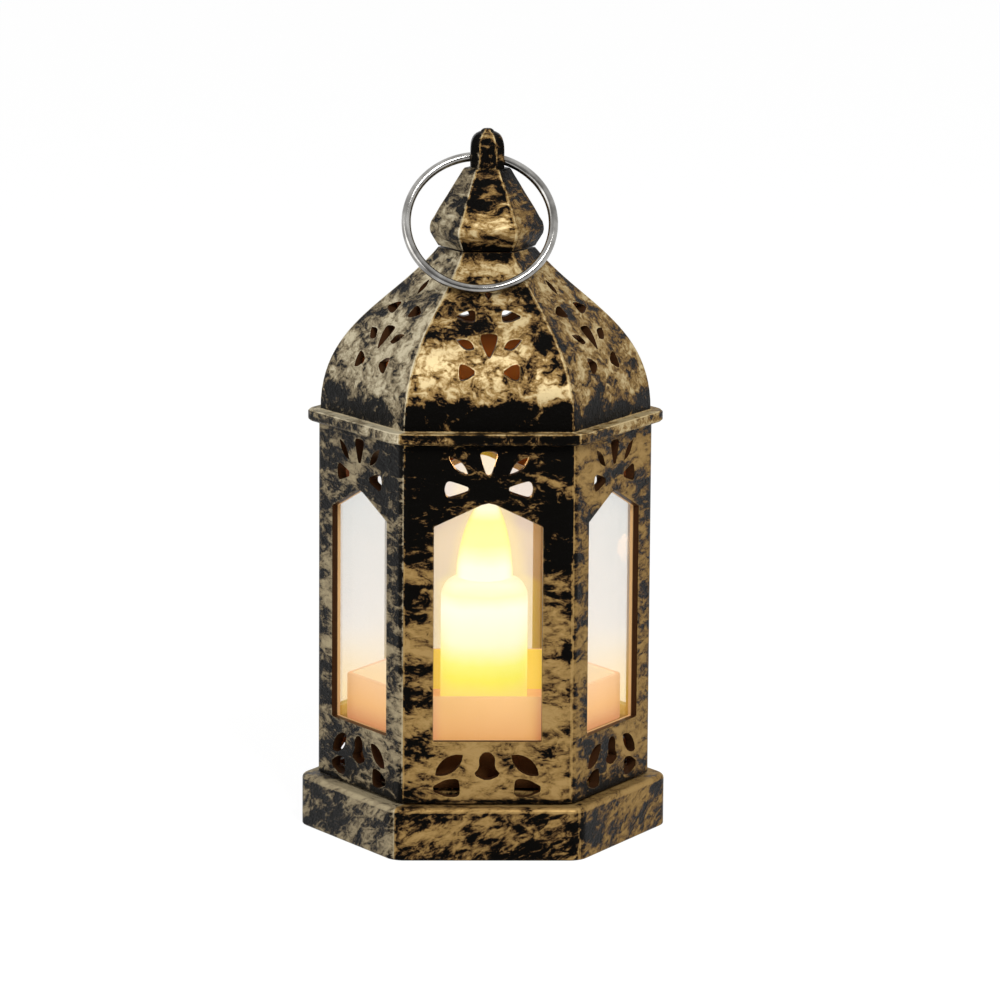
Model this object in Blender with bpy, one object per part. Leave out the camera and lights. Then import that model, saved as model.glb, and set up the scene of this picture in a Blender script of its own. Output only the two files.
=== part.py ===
# Hanging LED candle lantern: a six-sided pierced lantern with a battery candle inside.
# Metres, +Z up. The origin is the centre of the underside, and one flat side faces -Y.

import math

import bmesh
import bpy
from mathutils import Matrix, Vector
from mathutils.geometry import interpolate_bezier

SIDES = 6
SIDE_ANGLE = math.radians(60)
CORNER_STEPS = 3
ROUND_STEPS = 28

# Gap between pieces that touch on the real lantern, and the easier one round loose fits
SEAT = 0.0003
FIT = 0.0002
CUT_OVERRUN = 0.001
MERGE = 1e-7

# Base: plinth with a deck on top, open below
BASE_FLATS = 0.0566
BASE_HEIGHT = 0.0093
BASE_WALL = 0.0018
BASE_DECK = 0.0016
BASE_CORNER = 0.0030
BASE_EDGE = 0.0008

# Body: pierced hexagonal tube between base and eave
BODY_FLATS = 0.0514
BODY_HEIGHT = 0.0630
BODY_WALL = 0.0018
BODY_CORNER = 0.0025

# Rib on the deck that centres the body
RIB_HEIGHT = 0.0020
RIB_WALL = 0.0012

# Raised housing on the deck that covers the battery and carries the candle cup
HOUSING_FLATS = 0.0420
HOUSING_HEIGHT = 0.0096
HOUSING_WALL = 0.0014
HOUSING_CORNER = 0.0018

# Window opening in each side: sill from the body's foot, spring and apex down from its top
WINDOW_HALF_WIDTH = 0.0094
WINDOW_SILL = 0.0110
WINDOW_SPRING_DROP = 0.0142
WINDOW_APEX_DROP = 0.0098
WINDOW_TIP_ROUND = 0.0012

# Clear panes behind the windows
PANE_THICKNESS = 0.0008
PANE_OVERLAP = 0.0013

# Fan of petals over each window: its centre down from the body's top
FAN_DROP = 0.0074
FAN_HUB = 0.0021
FAN_TOP_PETAL = (0.0041, 0.0011, 0.0033, 0.0002)
FAN_SIDE_PETAL = (0.0037, 0.0011, 0.0032, 0.0005)
FAN_SIDE_PLACE = (0.0035, -0.0003)
FAN_LEAF = (0.0047, 0.0015)
FAN_LEAF_PLACE = (0.0052, 0.0038)
FAN_LEAF_ANGLE = 44

# Cut-outs under each window: places from the middle of the body's foot
SPADE_FOOT = 0.0040
SPADE_HALF = ((0.0024, 0.0011), (0.0013, 0.0024), (0.0014, 0.0041), (0.0006, 0.0051))
LOWER_LEAF = (0.0060, 0.0027)
LOWER_LEAF_PLACE = (0.0066, 0.0068)
LOWER_LEAF_ANGLE = -37
LOWER_LEAF_BLUNT = 0.7
LOWER_PETAL = (0.0044, 0.0014, 0.0032, 0.0002, 0.0004)
LOWER_PETAL_PLACE = (0.0093, 0.0026)
LOWER_PETAL_ANGLE = 177

# Eave and dome
EAVE_FLATS = 0.0553
EAVE_THICKNESS = 0.0019
EAVE_CORNER = 0.0040
EAVE_EDGE = 0.0003
SKIRT_DEPTH = 0.0013
DOME_FOOT_FLATS = 0.0506
DOME_NECK_FLATS = 0.0150
DOME_HEIGHT = 0.02875
DOME_WALL = 0.0014
DOME_ARRIS = 0.0011
DOME_FOOT_HANDLE = 0.0152
DOME_NECK_HANDLE = (0.0072, 0.0100)
DOME_STEPS = 9

# Cut-outs in each dome facet: places from the middle of the dome's foot
DOME_TOP_PETAL = (0.0037, 0.0006, 0.0033, 0.0002, 0.0002)
DOME_TOP_PETAL_HEIGHT = 0.0124
DOME_SIDE_PETAL = (0.0026, 0.0011, 0.0029, 0.0002, 0.0002)
DOME_SIDE_PETAL_PLACE = (0.0025, 0.0101)
DOME_LEAF = (0.0035, 0.0016, -0.0003)
DOME_LEAF_PLACE = (0.0041, 0.0146)
DOME_LEAF_ANGLE = 25
DOME_PAIR = (0.0031, 0.0005, 0.0020, 0.0002, 0.0002)
DOME_PAIR_PLACE = (0.0055, 0.0188)
DOME_PAIR_ANGLE = 178
DOME_TEARDROP = (0.0026, 0.0015)
DOME_TEARDROP_HEIGHT = 0.0226

# Bell-shaped cupola and its finial post
BELL_FLATS = 0.0176
BELL_SHOULDER_FLATS = 0.0077
BELL_HEIGHT = 0.0137
BELL_LIP = 0.0029
BELL_ARRIS = 0.0009
SPIGOT_FLATS = 0.0070
SPIGOT_DEPTH = 0.0026
POST_FLATS = 0.0059
POST_HEIGHT = 0.0064
POST_ARRIS = 0.0005
NUB_HEIGHT = 0.0005
RING_HOLE_HEIGHT = 0.0016
RING_HOLE_RADIUS = 0.00145

# Hanging ring
RING_RADIUS = 0.0128
RING_WIRE = 0.00082
RING_SHIFT = -0.0014
RING_STEPS = 48
RING_SIDES = 8

# Milky cup round the foot of the candle
CUP_FLATS = 0.0424
CUP_WALL = 0.0012
CUP_CORNER = 0.0016
CUP_HEIGHT = 0.0083
CUP_FLOOR = 0.0010
WIRE_HOLE_RADIUS = 0.0025
COLLAR_HEIGHT = 0.0015
COLLAR_WALL = 0.0012

# Candle, flame and LED
CANDLE_RADIUS = 0.0077
CANDLE_HEIGHT = 0.0242
CANDLE_WALL = 0.0015
CANDLE_SHOULDER = 0.0036
CANDLE_LEDGE_HEIGHT = 0.0175
CANDLE_LEDGE = 0.0009
CANDLE_TOP = 0.0021
FLAME_RADIUS = 0.0050
FLAME_HEIGHT = 0.0150
FLAME_LEAN = 0.0006
FLAME_PROFILE = ((0.14, 0.98), (0.34, 0.90), (0.54, 0.76), (0.70, 0.59), (0.84, 0.39), (0.94, 0.21),
                 (1.0, 0.05))
FLAME_SPIGOT_RADIUS = 0.0040
FLAME_SPIGOT_DEPTH = 0.0024
FLAME_BORE_HEIGHT = 0.0045
LED_RADIUS = 0.0025
LED_FLANGE_RADIUS = 0.0029
LED_FLANGE = 0.0010
LED_LENGTH = 0.0086
LEG_RADIUS = 0.00025
LEG_SPACING = 0.00254
LEG_LENGTH = 0.0023
BOARD_THICKNESS = 0.0010

# Battery compartment and its three cells in a row along X
CELL_RADIUS = 0.0058
CELL_THICKNESS = 0.0054
CELL_COUNT = 3
CELL_CAP_RADIUS = 0.0047
CELL_CAP = 0.0004
CELL_RIM = 0.0004
CELL_GAP = 0.0002
CONTACT_THICKNESS = 0.0003
CONTACT_WIDTH = 0.0050
CONTACT_TAB_WIDTH = 0.0022
CONTACT_TAB_HEIGHT = 0.0011
SPRING_ROOM = 0.0019
SPRING_WIRE = 0.0002
SPRING_RADIUS = 0.0022
SPRING_TAPER = 0.00077
SPRING_TURNS = 2.5
SPRING_STEPS = 30
HOLDER_WALL = 0.0012
HOLDER_ROOF = 0.0010

# Bottom plate, door and screws
PLATE_RECESS = 0.0012
PLATE_THICKNESS = 0.0018
DOOR_THICKNESS = 0.0014
DOOR_LAP = 0.0005
DOOR_LUG_LENGTH = 0.0054
DOOR_LUG_WIDTH = 0.0064
DOOR_GRIP_COUNT = 3
DOOR_GRIP_DEPTH = 0.0004
DOOR_GRIP_LENGTH = 0.0065
DOOR_GRIP_WIDTH = 0.0007
DOOR_GRIP_PITCH = 0.0014
DOOR_GRIP_MARGIN = 0.0020
SCREW_RADIUS = 0.00095
SCREW_HEAD_RADIUS = 0.0019
SCREW_HEAD = 0.0008
SCREW_LENGTH = 0.0040
BOSS_RADIUS = 0.0025
BOSS_FROM_WALL = 0.0034
DOOR_BOSS_HEIGHT = 0.0034

# Slide switch in the bottom plate
SWITCH_Y = 0.0138
SWITCH_LENGTH = 0.0086
SWITCH_WIDTH = 0.0037
SWITCH_HEIGHT = 0.0027
SWITCH_WALL = 0.0005
SWITCH_TRAVEL = 0.0020
KNOB_LENGTH = 0.0024
KNOB_WIDTH = 0.0014
KNOB_PROUD = 0.0006
SLIDER_LENGTH = 0.0042
SLIDER_HEIGHT = 0.0011
PIN_RADIUS = 0.0003
PIN_LENGTH = 0.0010
PIN_SPACING = 0.0025

# Thin leads: slack off the surfaces they run along, bends, distance between the two that rise, solder pads
LEAD_RADIUS = 0.00045
LEAD_SLACK = 0.0004
LEAD_BEND = 0.0020
LEAD_SPACING = 0.0024
PAD_X = 0.0026

# Heights and sizes that follow from the sizes above
BODY_FOOT_Z = BASE_HEIGHT + SEAT
BODY_TOP_Z = BODY_FOOT_Z + BODY_HEIGHT
EAVE_Z = BODY_TOP_Z + SEAT
DOME_FOOT_Z = EAVE_Z + EAVE_THICKNESS
DOME_NECK_Z = DOME_FOOT_Z + DOME_HEIGHT
BELL_Z = DOME_NECK_Z + SEAT
BELL_TOP_Z = BELL_Z + BELL_HEIGHT
RING_AXIS_Z = BELL_TOP_Z + RING_HOLE_HEIGHT
DECK_CEILING_Z = BASE_HEIGHT - BASE_DECK
HOUSING_TOP_Z = BASE_HEIGHT + HOUSING_HEIGHT
HOUSING_CEILING_Z = HOUSING_TOP_Z - HOUSING_WALL
CUP_Z = HOUSING_TOP_Z + SEAT
CUP_FLOOR_Z = CUP_Z + CUP_FLOOR
CANDLE_Z = CUP_FLOOR_Z + SEAT
CANDLE_TOP_Z = CANDLE_Z + CANDLE_HEIGHT
CANDLE_BORE = CANDLE_RADIUS - CANDLE_WALL
FLAME_Z = CANDLE_TOP_Z + SEAT
BOARD_Z = CANDLE_Z + CANDLE_LEDGE_HEIGHT - SEAT - BOARD_THICKNESS
LED_Z = BOARD_Z + BOARD_THICKNESS + SEAT
LED_BORE = LED_RADIUS + SEAT
PLATE_FLATS = BASE_FLATS - 2 * BASE_WALL - 2 * SEAT
PLATE_TOP_Z = PLATE_RECESS + PLATE_THICKNESS
DOOR_TOP_Z = PLATE_RECESS + DOOR_THICKNESS
POCKET_TOP_Z = DOOR_TOP_Z + SEAT
CELL_AXIS_Z = DOOR_TOP_Z + SEAT + CELL_RADIUS
HOLDER_INNER_WIDTH = 2 * (CELL_RADIUS + FIT)
HOLDER_OUTER_WIDTH = HOLDER_INNER_WIDTH + 2 * HOLDER_WALL
CELL_ROW = CELL_COUNT * CELL_THICKNESS + (CELL_COUNT - 1) * CELL_GAP
HOLDER_INNER_LENGTH = CELL_ROW + SPRING_ROOM + 2 * CONTACT_THICKNESS + 4 * FIT
HOLDER_OUTER_LENGTH = HOLDER_INNER_LENGTH + 2 * HOLDER_WALL
HOLDER_ROOF_Z = CELL_AXIS_Z + CELL_RADIUS + FIT
HOLDER_TOP_Z = HOLDER_ROOF_Z + HOLDER_ROOF
PLUS_WALL_X = HOLDER_INNER_LENGTH / 2
CELL_ROW_END_X = PLUS_WALL_X - CONTACT_THICKNESS - 2 * FIT
DOOR_LENGTH = HOLDER_INNER_LENGTH + 2 * DOOR_LAP
DOOR_WIDTH = HOLDER_INNER_WIDTH + 2 * DOOR_LAP
DOOR_SCREW_X = DOOR_LENGTH / 2 + DOOR_LUG_LENGTH - DOOR_LUG_WIDTH / 2
BASE_SCREW_ANGLES = (90, 210, 330)
BOSS_CIRCLE = BASE_FLATS / 2 - BASE_WALL - BOSS_FROM_WALL
SWITCH_Z = PLATE_TOP_Z + SEAT


# Tools

def material(name, colour, roughness, metallic=0.0, alpha=1.0):
    """Plain material with the piece's colour."""
    made = bpy.data.materials.get(name)
    if made is not None:
        return made
    made = bpy.data.materials.new(name)
    made.use_nodes = True
    shader = made.node_tree.nodes["Principled BSDF"]
    shader.inputs["Base Color"].default_value = (*colour, 1.0)
    shader.inputs["Roughness"].default_value = roughness
    shader.inputs["Metallic"].default_value = metallic
    shader.inputs["Alpha"].default_value = alpha
    made.diffuse_color = (*colour, alpha)
    return made


def worn_gold():
    return material("worn_gold", (0.46, 0.33, 0.16), 0.45, 0.6)


def milky_plastic():
    return material("milky_plastic", (0.92, 0.86, 0.76), 0.4)


def bright_metal():
    return material("bright_metal", (0.72, 0.72, 0.72), 0.2, 1.0)


def black_plastic():
    return material("black_plastic", (0.03, 0.03, 0.03), 0.5)


def add_object(name, bm, finish, origin=(0, 0, 0)):
    """Turn a finished bmesh into a named object whose origin lies at the given point."""
    bmesh.ops.recalc_face_normals(bm, faces=bm.faces)
    bmesh.ops.translate(bm, verts=bm.verts, vec=-Vector(origin))
    mesh = bpy.data.meshes.new(name)
    bm.to_mesh(mesh)
    bm.free()
    item = bpy.data.objects.new(name, mesh)
    item.location = origin
    bpy.context.scene.collection.objects.link(item)
    item.data.materials.append(finish)
    return item


def smooth(item, angle=35):
    """Shade round surfaces smooth and keep real edges sharp."""
    item.data.shade_smooth()
    item.data.set_sharp_from_angle(angle=math.radians(angle))


def boolean(item, tool_bm, name, operation):
    """Cut a tool shape from an object, or join it on, and keep the tool as a hidden guide."""
    tool = add_object(name, tool_bm, black_plastic())
    tool.hide_render = True
    tool.display_type = "WIRE"
    modifier = item.modifiers.new(name, "BOOLEAN")
    modifier.operation = operation
    modifier.solver = "EXACT"
    modifier.object = tool


def hex_ring(flats, corner, z, turn=0.0, steps=CORNER_STEPS):
    """Points round a hexagon with rounded corners, its first corner on +X."""
    centre_radius = (flats / 2 - corner) / math.cos(SIDE_ANGLE / 2)
    ring = []
    for side in range(SIDES):
        middle = turn + side * SIDE_ANGLE
        centre = Vector((centre_radius * math.cos(middle), centre_radius * math.sin(middle), z))
        for step in range(steps + 1):
            angle = middle + SIDE_ANGLE * (step / steps - 0.5)
            ring.append(centre + corner * Vector((math.cos(angle), math.sin(angle), 0)))
    return ring


def round_ring(radius, z, steps, shift=0.0):
    """Points round a circle whose centre lies off the axis by the shift along X."""
    angles = [2 * math.pi * step / steps for step in range(steps)]
    return [Vector((shift + radius * math.cos(angle), radius * math.sin(angle), z)) for angle in angles]


def loft(bm, rings, closed=False):
    """Extrude an edge loop through every ring; closed joins last to first, otherwise both ends are capped."""
    verts = [bm.verts.new(place) for place in rings[0]]
    edges = [bm.edges.new((verts[i - 1], verts[i])) for i in range(len(verts))]
    first_edges = edges
    for ring in rings[1:] + (rings[:1] if closed else []):
        grown = bmesh.ops.extrude_edge_only(bm, edges=edges)["geom"]
        fresh = {part for part in grown if isinstance(part, bmesh.types.BMVert)}
        edges = [part for part in grown
                 if isinstance(part, bmesh.types.BMEdge) and fresh.issuperset(part.verts)]
        twins = {old: edge.other_vert(old) for old in verts for edge in old.link_edges
                 if edge.other_vert(old) in fresh}
        verts = [twins[old] for old in verts]
        for vert, place in zip(verts, ring):
            vert.co = place
    if closed:
        bmesh.ops.remove_doubles(bm, verts=bm.verts, dist=MERGE)
    else:
        bmesh.ops.contextual_create(bm, geom=first_edges)
        bmesh.ops.contextual_create(bm, geom=edges)


def turned(bm, profile, steps=ROUND_STEPS, matrix=Matrix.Identity(4)):
    """Spin an outline of (radius, height) points round the matrix's own Z axis."""
    points = [bm.verts.new(matrix @ Vector((radius, 0, height))) for radius, height in profile]
    edges = [bm.edges.new(pair) for pair in zip(points, points[1:])]
    bmesh.ops.spin(bm, geom=points + edges, cent=matrix.translation, axis=matrix.col[2].to_3d(),
                   angle=2 * math.pi, steps=steps, use_merge=True)
    bmesh.ops.remove_doubles(bm, verts=bm.verts, dist=MERGE)


def prism(bm, outline, near, far, matrix=Matrix.Identity(4)):
    """Extrude an outline of (x, z) points along Y from near to far, then place it."""
    verts = [bm.verts.new((x, near, z)) for x, z in outline]
    face = bm.faces.new(verts)
    grown = bmesh.ops.extrude_face_region(bm, geom=[face])
    moved = [part for part in grown["geom"] if isinstance(part, bmesh.types.BMVert)]
    bmesh.ops.translate(bm, verts=moved, vec=(0, far - near, 0))
    bmesh.ops.transform(bm, matrix=matrix, verts=verts + moved)


def block(bm, low, high):
    """Box between two opposite corners."""
    low = Vector(low)
    high = Vector(high)
    made = bmesh.ops.create_cube(bm, size=1)
    bmesh.ops.scale(bm, verts=made["verts"], vec=high - low)
    bmesh.ops.translate(bm, verts=made["verts"], vec=(low + high) / 2)


def rod(bm, radius, start, end, steps=16):
    """Round rod between two points."""
    start = Vector(start)
    end = Vector(end)
    turn = (end - start).to_track_quat("Z", "Y").to_matrix().to_4x4()
    place = Matrix.Translation((start + end) / 2) @ turn
    bmesh.ops.create_cone(bm, cap_ends=True, segments=steps, radius1=radius, radius2=radius,
                          depth=(end - start).length, matrix=place)


def screw_hole(bm, x, y, seat_z, top_z):
    """Stepped hole from the underside: room for the head up to its seat, and for the shank above."""
    profile = [(0, 0), (SCREW_HEAD_RADIUS + FIT, 0), (SCREW_HEAD_RADIUS + FIT, seat_z),
               (SCREW_RADIUS + FIT, seat_z), (SCREW_RADIUS + FIT, top_z), (0, top_z)]
    turned(bm, profile, 20, Matrix.Translation((x, y, 0)))


def turn_to_side(side):
    """Rotation that carries the front side, facing -Y, to another side."""
    return Matrix.Rotation(side * SIDE_ANGLE, 4, "Z")


# Outlines of the cut-outs, as (x, z) points

def placed(outline, x, z, degrees, mirrored=False):
    """Turn an outline, move it, and mirror it to the other half of the side."""
    angle = math.radians(degrees)
    points = []
    for u, v in outline:
        px = x + u * math.cos(angle) - v * math.sin(angle)
        pz = z + u * math.sin(angle) + v * math.cos(angle)
        points.append((-px if mirrored else px, pz))
    return points[::-1] if mirrored else points


def leaf(length, width, lean=0.0, blunt=1.0, steps=4):
    """Leaf along u between two arcs; lean moves its widest place, and a small blunt value rounds its ends."""
    upper = []
    for step in range(1, steps):
        t = step / steps
        u = length * (t - 0.5) + lean * math.sin(math.pi * t)
        upper.append((u, width / 2 * math.sin(math.pi * t) ** blunt))
    lower = [(u, -v) for u, v in reversed(upper)]
    return [(-length / 2, 0)] + lower[::-1] + [(length / 2, 0)] + upper[::-1]


def wedge(length, narrow, wide, bulge, bow=0.0):
    """Petal that starts narrow at u = 0 and widens to a bulging outer edge; bow swells its two sides."""
    middle = (narrow + wide) / 4 + bow
    half = [(0, narrow / 3), (narrow / 3, narrow / 2), (length / 2, middle), (length, wide / 2)]
    return [(u, -v) for u, v in half] + [(length + bulge, 0)] + half[::-1]


def spade():
    """Upright club with side wings and a point below, its point at z = 0."""
    return [(0, 0)] + list(SPADE_HALF) + [(-x, z) for x, z in reversed(SPADE_HALF)]


def window_outline(grow=0.0):
    """Window with a low pointed arch; grow widens it all round."""
    width = WINDOW_HALF_WIDTH + grow
    sill = BODY_FOOT_Z + WINDOW_SILL - grow
    spring = BODY_TOP_Z - WINDOW_SPRING_DROP + grow / 2
    apex = BODY_TOP_Z - WINDOW_APEX_DROP + grow
    slope = (apex - spring) / width
    blunt = apex - slope * WINDOW_TIP_ROUND
    half = [(width, sill), (width, spring), (WINDOW_TIP_ROUND, blunt)]
    tip = (0, apex - slope * WINDOW_TIP_ROUND / 2)
    return half + [tip] + [(-x, z) for x, z in reversed(half)]


def panel_outlines():
    """Every cut-out of one body side: window, fan above and leaves below."""
    fan_z = BODY_TOP_Z - FAN_DROP
    outlines = [window_outline(), placed(spade(), 0, BODY_FOOT_Z + SPADE_FOOT, 0),
                placed(wedge(*FAN_TOP_PETAL), 0, fan_z + FAN_HUB, 90)]
    for mirrored in (False, True):
        x, lift = FAN_SIDE_PLACE
        outlines.append(placed(wedge(*FAN_SIDE_PETAL), x, fan_z + lift, 0, mirrored))
        x, lift = FAN_LEAF_PLACE
        outlines.append(placed(leaf(*FAN_LEAF), x, fan_z + lift, FAN_LEAF_ANGLE, mirrored))
        x, lift = LOWER_LEAF_PLACE
        outlines.append(placed(leaf(*LOWER_LEAF, blunt=LOWER_LEAF_BLUNT), x, BODY_FOOT_Z + lift,
                               LOWER_LEAF_ANGLE, mirrored))
        x, lift = LOWER_PETAL_PLACE
        outlines.append(placed(wedge(*LOWER_PETAL), x, BODY_FOOT_Z + lift, LOWER_PETAL_ANGLE, mirrored))
    return outlines


def dome_outlines():
    """Every cut-out of one dome facet: a fan, a pair over it and a drop on top."""
    outlines = [placed(wedge(*DOME_TOP_PETAL), 0, DOME_FOOT_Z + DOME_TOP_PETAL_HEIGHT, 90),
                placed(leaf(*DOME_TEARDROP), 0, DOME_FOOT_Z + DOME_TEARDROP_HEIGHT, 90)]
    for mirrored in (False, True):
        x, lift = DOME_SIDE_PETAL_PLACE
        outlines.append(placed(wedge(*DOME_SIDE_PETAL), x, DOME_FOOT_Z + lift, 0, mirrored))
        x, lift = DOME_LEAF_PLACE
        outlines.append(placed(leaf(*DOME_LEAF), x, DOME_FOOT_Z + lift, DOME_LEAF_ANGLE, mirrored))
        x, lift = DOME_PAIR_PLACE
        outlines.append(placed(wedge(*DOME_PAIR), x, DOME_FOOT_Z + lift, DOME_PAIR_ANGLE, mirrored))
    return outlines


# Dome profile

def dome_profile():
    """Ogee of a dome facet as (distance from the axis, height), from the eave up to the neck."""
    foot = Vector((DOME_FOOT_FLATS / 2, DOME_FOOT_Z))
    neck = Vector((DOME_NECK_FLATS / 2, DOME_NECK_Z))
    rise = Vector((0, DOME_FOOT_HANDLE))
    sweep = Vector((DOME_NECK_HANDLE[0], -DOME_NECK_HANDLE[1]))
    points = interpolate_bezier(foot, foot + rise, neck + sweep, neck, DOME_STEPS + 1)
    return [Vector(point[:2]) for point in points]


def inset_profile(profile, wall):
    """The same profile moved inwards by the wall, square to the surface."""
    inner = []
    for i, point in enumerate(profile):
        before = profile[max(i - 1, 0)]
        after = profile[min(i + 1, len(profile) - 1)]
        along = (after - before).normalized()
        inner.append(point + wall * Vector((-along.y, along.x)))
    return inner


def dome_distance(z):
    """Distance of the outer dome facet from the axis at a height."""
    profile = dome_profile()
    for low, high in zip(profile, profile[1:]):
        if low.y <= z <= high.y:
            return low.x + (high.x - low.x) * (z - low.y) / (high.y - low.y)
    return profile[0].x if z < profile[0].y else profile[-1].x


# Ring geometry

def ring_drop():
    """How far the ring's top lies above the swing axis, so that its bend stays centred in the hole."""
    reach = [abs(side * POST_FLATS / 2 - RING_SHIFT) for side in (-1, 1)]
    sag = [RING_RADIUS - math.sqrt(RING_RADIUS ** 2 - x ** 2) for x in reach]
    return max(sag) / 2


def ring_rest_lean():
    """Lean of the ring from the vertical, at which its lowest point lies on the dome's facet."""
    reach = 2 * RING_RADIUS - ring_drop()
    profile = dome_profile()

    def clearance(lean):
        point = Vector((reach * math.sin(lean), RING_AXIS_Z - reach * math.cos(lean)))
        nearest = []
        for low, high in zip(profile, profile[1:]):
            run = high - low
            along = max(0.0, min(1.0, (point - low).dot(run) / run.length_squared))
            nearest.append((point - low - run * along).length)
        outside = point.x - dome_distance(point.y)
        return math.copysign(min(nearest), outside) - RING_WIRE - SEAT

    low = 0.0
    high = math.radians(80)
    while high - low > 1e-6:
        middle = (low + high) / 2
        if clearance(middle) > 0:
            high = middle
        else:
            low = middle
    return high


# Base

def base_screw_places():
    angles = [math.radians(angle) for angle in BASE_SCREW_ANGLES]
    return [(BOSS_CIRCLE * math.cos(angle), BOSS_CIRCLE * math.sin(angle)) for angle in angles]


def make_base_shell():
    """Plinth with a deck, a centring rib for the body, the raised housing and three screw bosses below."""
    rib_flats = BODY_FLATS - 2 * BODY_WALL - 2 * SEAT
    rib_corner = BODY_CORNER - BODY_WALL
    inner_flats = BASE_FLATS - 2 * BASE_WALL
    inner_corner = BASE_CORNER - BASE_WALL
    room_flats = HOUSING_FLATS - 2 * HOUSING_WALL
    room_corner = HOUSING_CORNER - HOUSING_WALL
    rings = [hex_ring(room_flats, room_corner, HOUSING_CEILING_Z),
             hex_ring(room_flats, room_corner, DECK_CEILING_Z),
             hex_ring(inner_flats, inner_corner, DECK_CEILING_Z),
             hex_ring(inner_flats, inner_corner, 0),
             hex_ring(BASE_FLATS, BASE_CORNER, 0)]
    for step in range(4):
        angle = math.radians(90) * step / 3
        inward = BASE_EDGE * (1 - math.cos(angle))
        rings.append(hex_ring(BASE_FLATS - 2 * inward, BASE_CORNER - inward,
                              BASE_HEIGHT - BASE_EDGE * (1 - math.sin(angle))))
    for flats, height in ((rib_flats, 0), (rib_flats, RIB_HEIGHT),
                          (rib_flats - 2 * RIB_WALL, RIB_HEIGHT), (rib_flats - 2 * RIB_WALL, 0)):
        rings.append(hex_ring(flats, rib_corner, BASE_HEIGHT + height))
    rings.append(hex_ring(HOUSING_FLATS, HOUSING_CORNER, BASE_HEIGHT))
    rings.append(hex_ring(HOUSING_FLATS, HOUSING_CORNER, HOUSING_TOP_Z))
    bm = bmesh.new()
    loft(bm, rings)
    item = add_object("base_shell", bm, worn_gold())

    bosses = bmesh.new()
    for x, y in base_screw_places():
        rod(bosses, BOSS_RADIUS, (x, y, PLATE_TOP_Z + SEAT), (x, y, BASE_HEIGHT - BASE_DECK / 2), 20)
    boolean(item, bosses, "guide_bosses", "UNION")

    cuts = bmesh.new()
    for x, y in base_screw_places():
        rod(cuts, SCREW_RADIUS + FIT, (x, y, 0), (x, y, screw_tip_z() + SEAT))
    rod(cuts, WIRE_HOLE_RADIUS, (0, 0, HOUSING_CEILING_Z - CUT_OVERRUN), (0, 0, HOUSING_TOP_Z + CUT_OVERRUN),
        20)
    boolean(item, cuts, "guide_base_cuts", "DIFFERENCE")
    smooth(item)


def screw_seat_z():
    """Height of the face that a screw's head seats on, inside the bottom plate."""
    return PLATE_RECESS + SCREW_HEAD + FIT


def screw_tip_z():
    return screw_seat_z() + SCREW_LENGTH


def make_screw(name, x, y, seat_z):
    """Pan-head screw driven in from below, with its head just under the seat."""
    head_z = seat_z - SEAT
    profile = [(0, head_z - SCREW_HEAD), (SCREW_HEAD_RADIUS * 0.7, head_z - SCREW_HEAD),
               (SCREW_HEAD_RADIUS, head_z - SCREW_HEAD * 0.6), (SCREW_HEAD_RADIUS, head_z),
               (SCREW_RADIUS, head_z), (SCREW_RADIUS, head_z + SCREW_LENGTH - SCREW_RADIUS),
               (0, head_z + SCREW_LENGTH)]
    bm = bmesh.new()
    turned(bm, profile, 12, Matrix.Translation((x, y, 0)))
    smooth(add_object(name, bm, bright_metal()))


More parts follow.
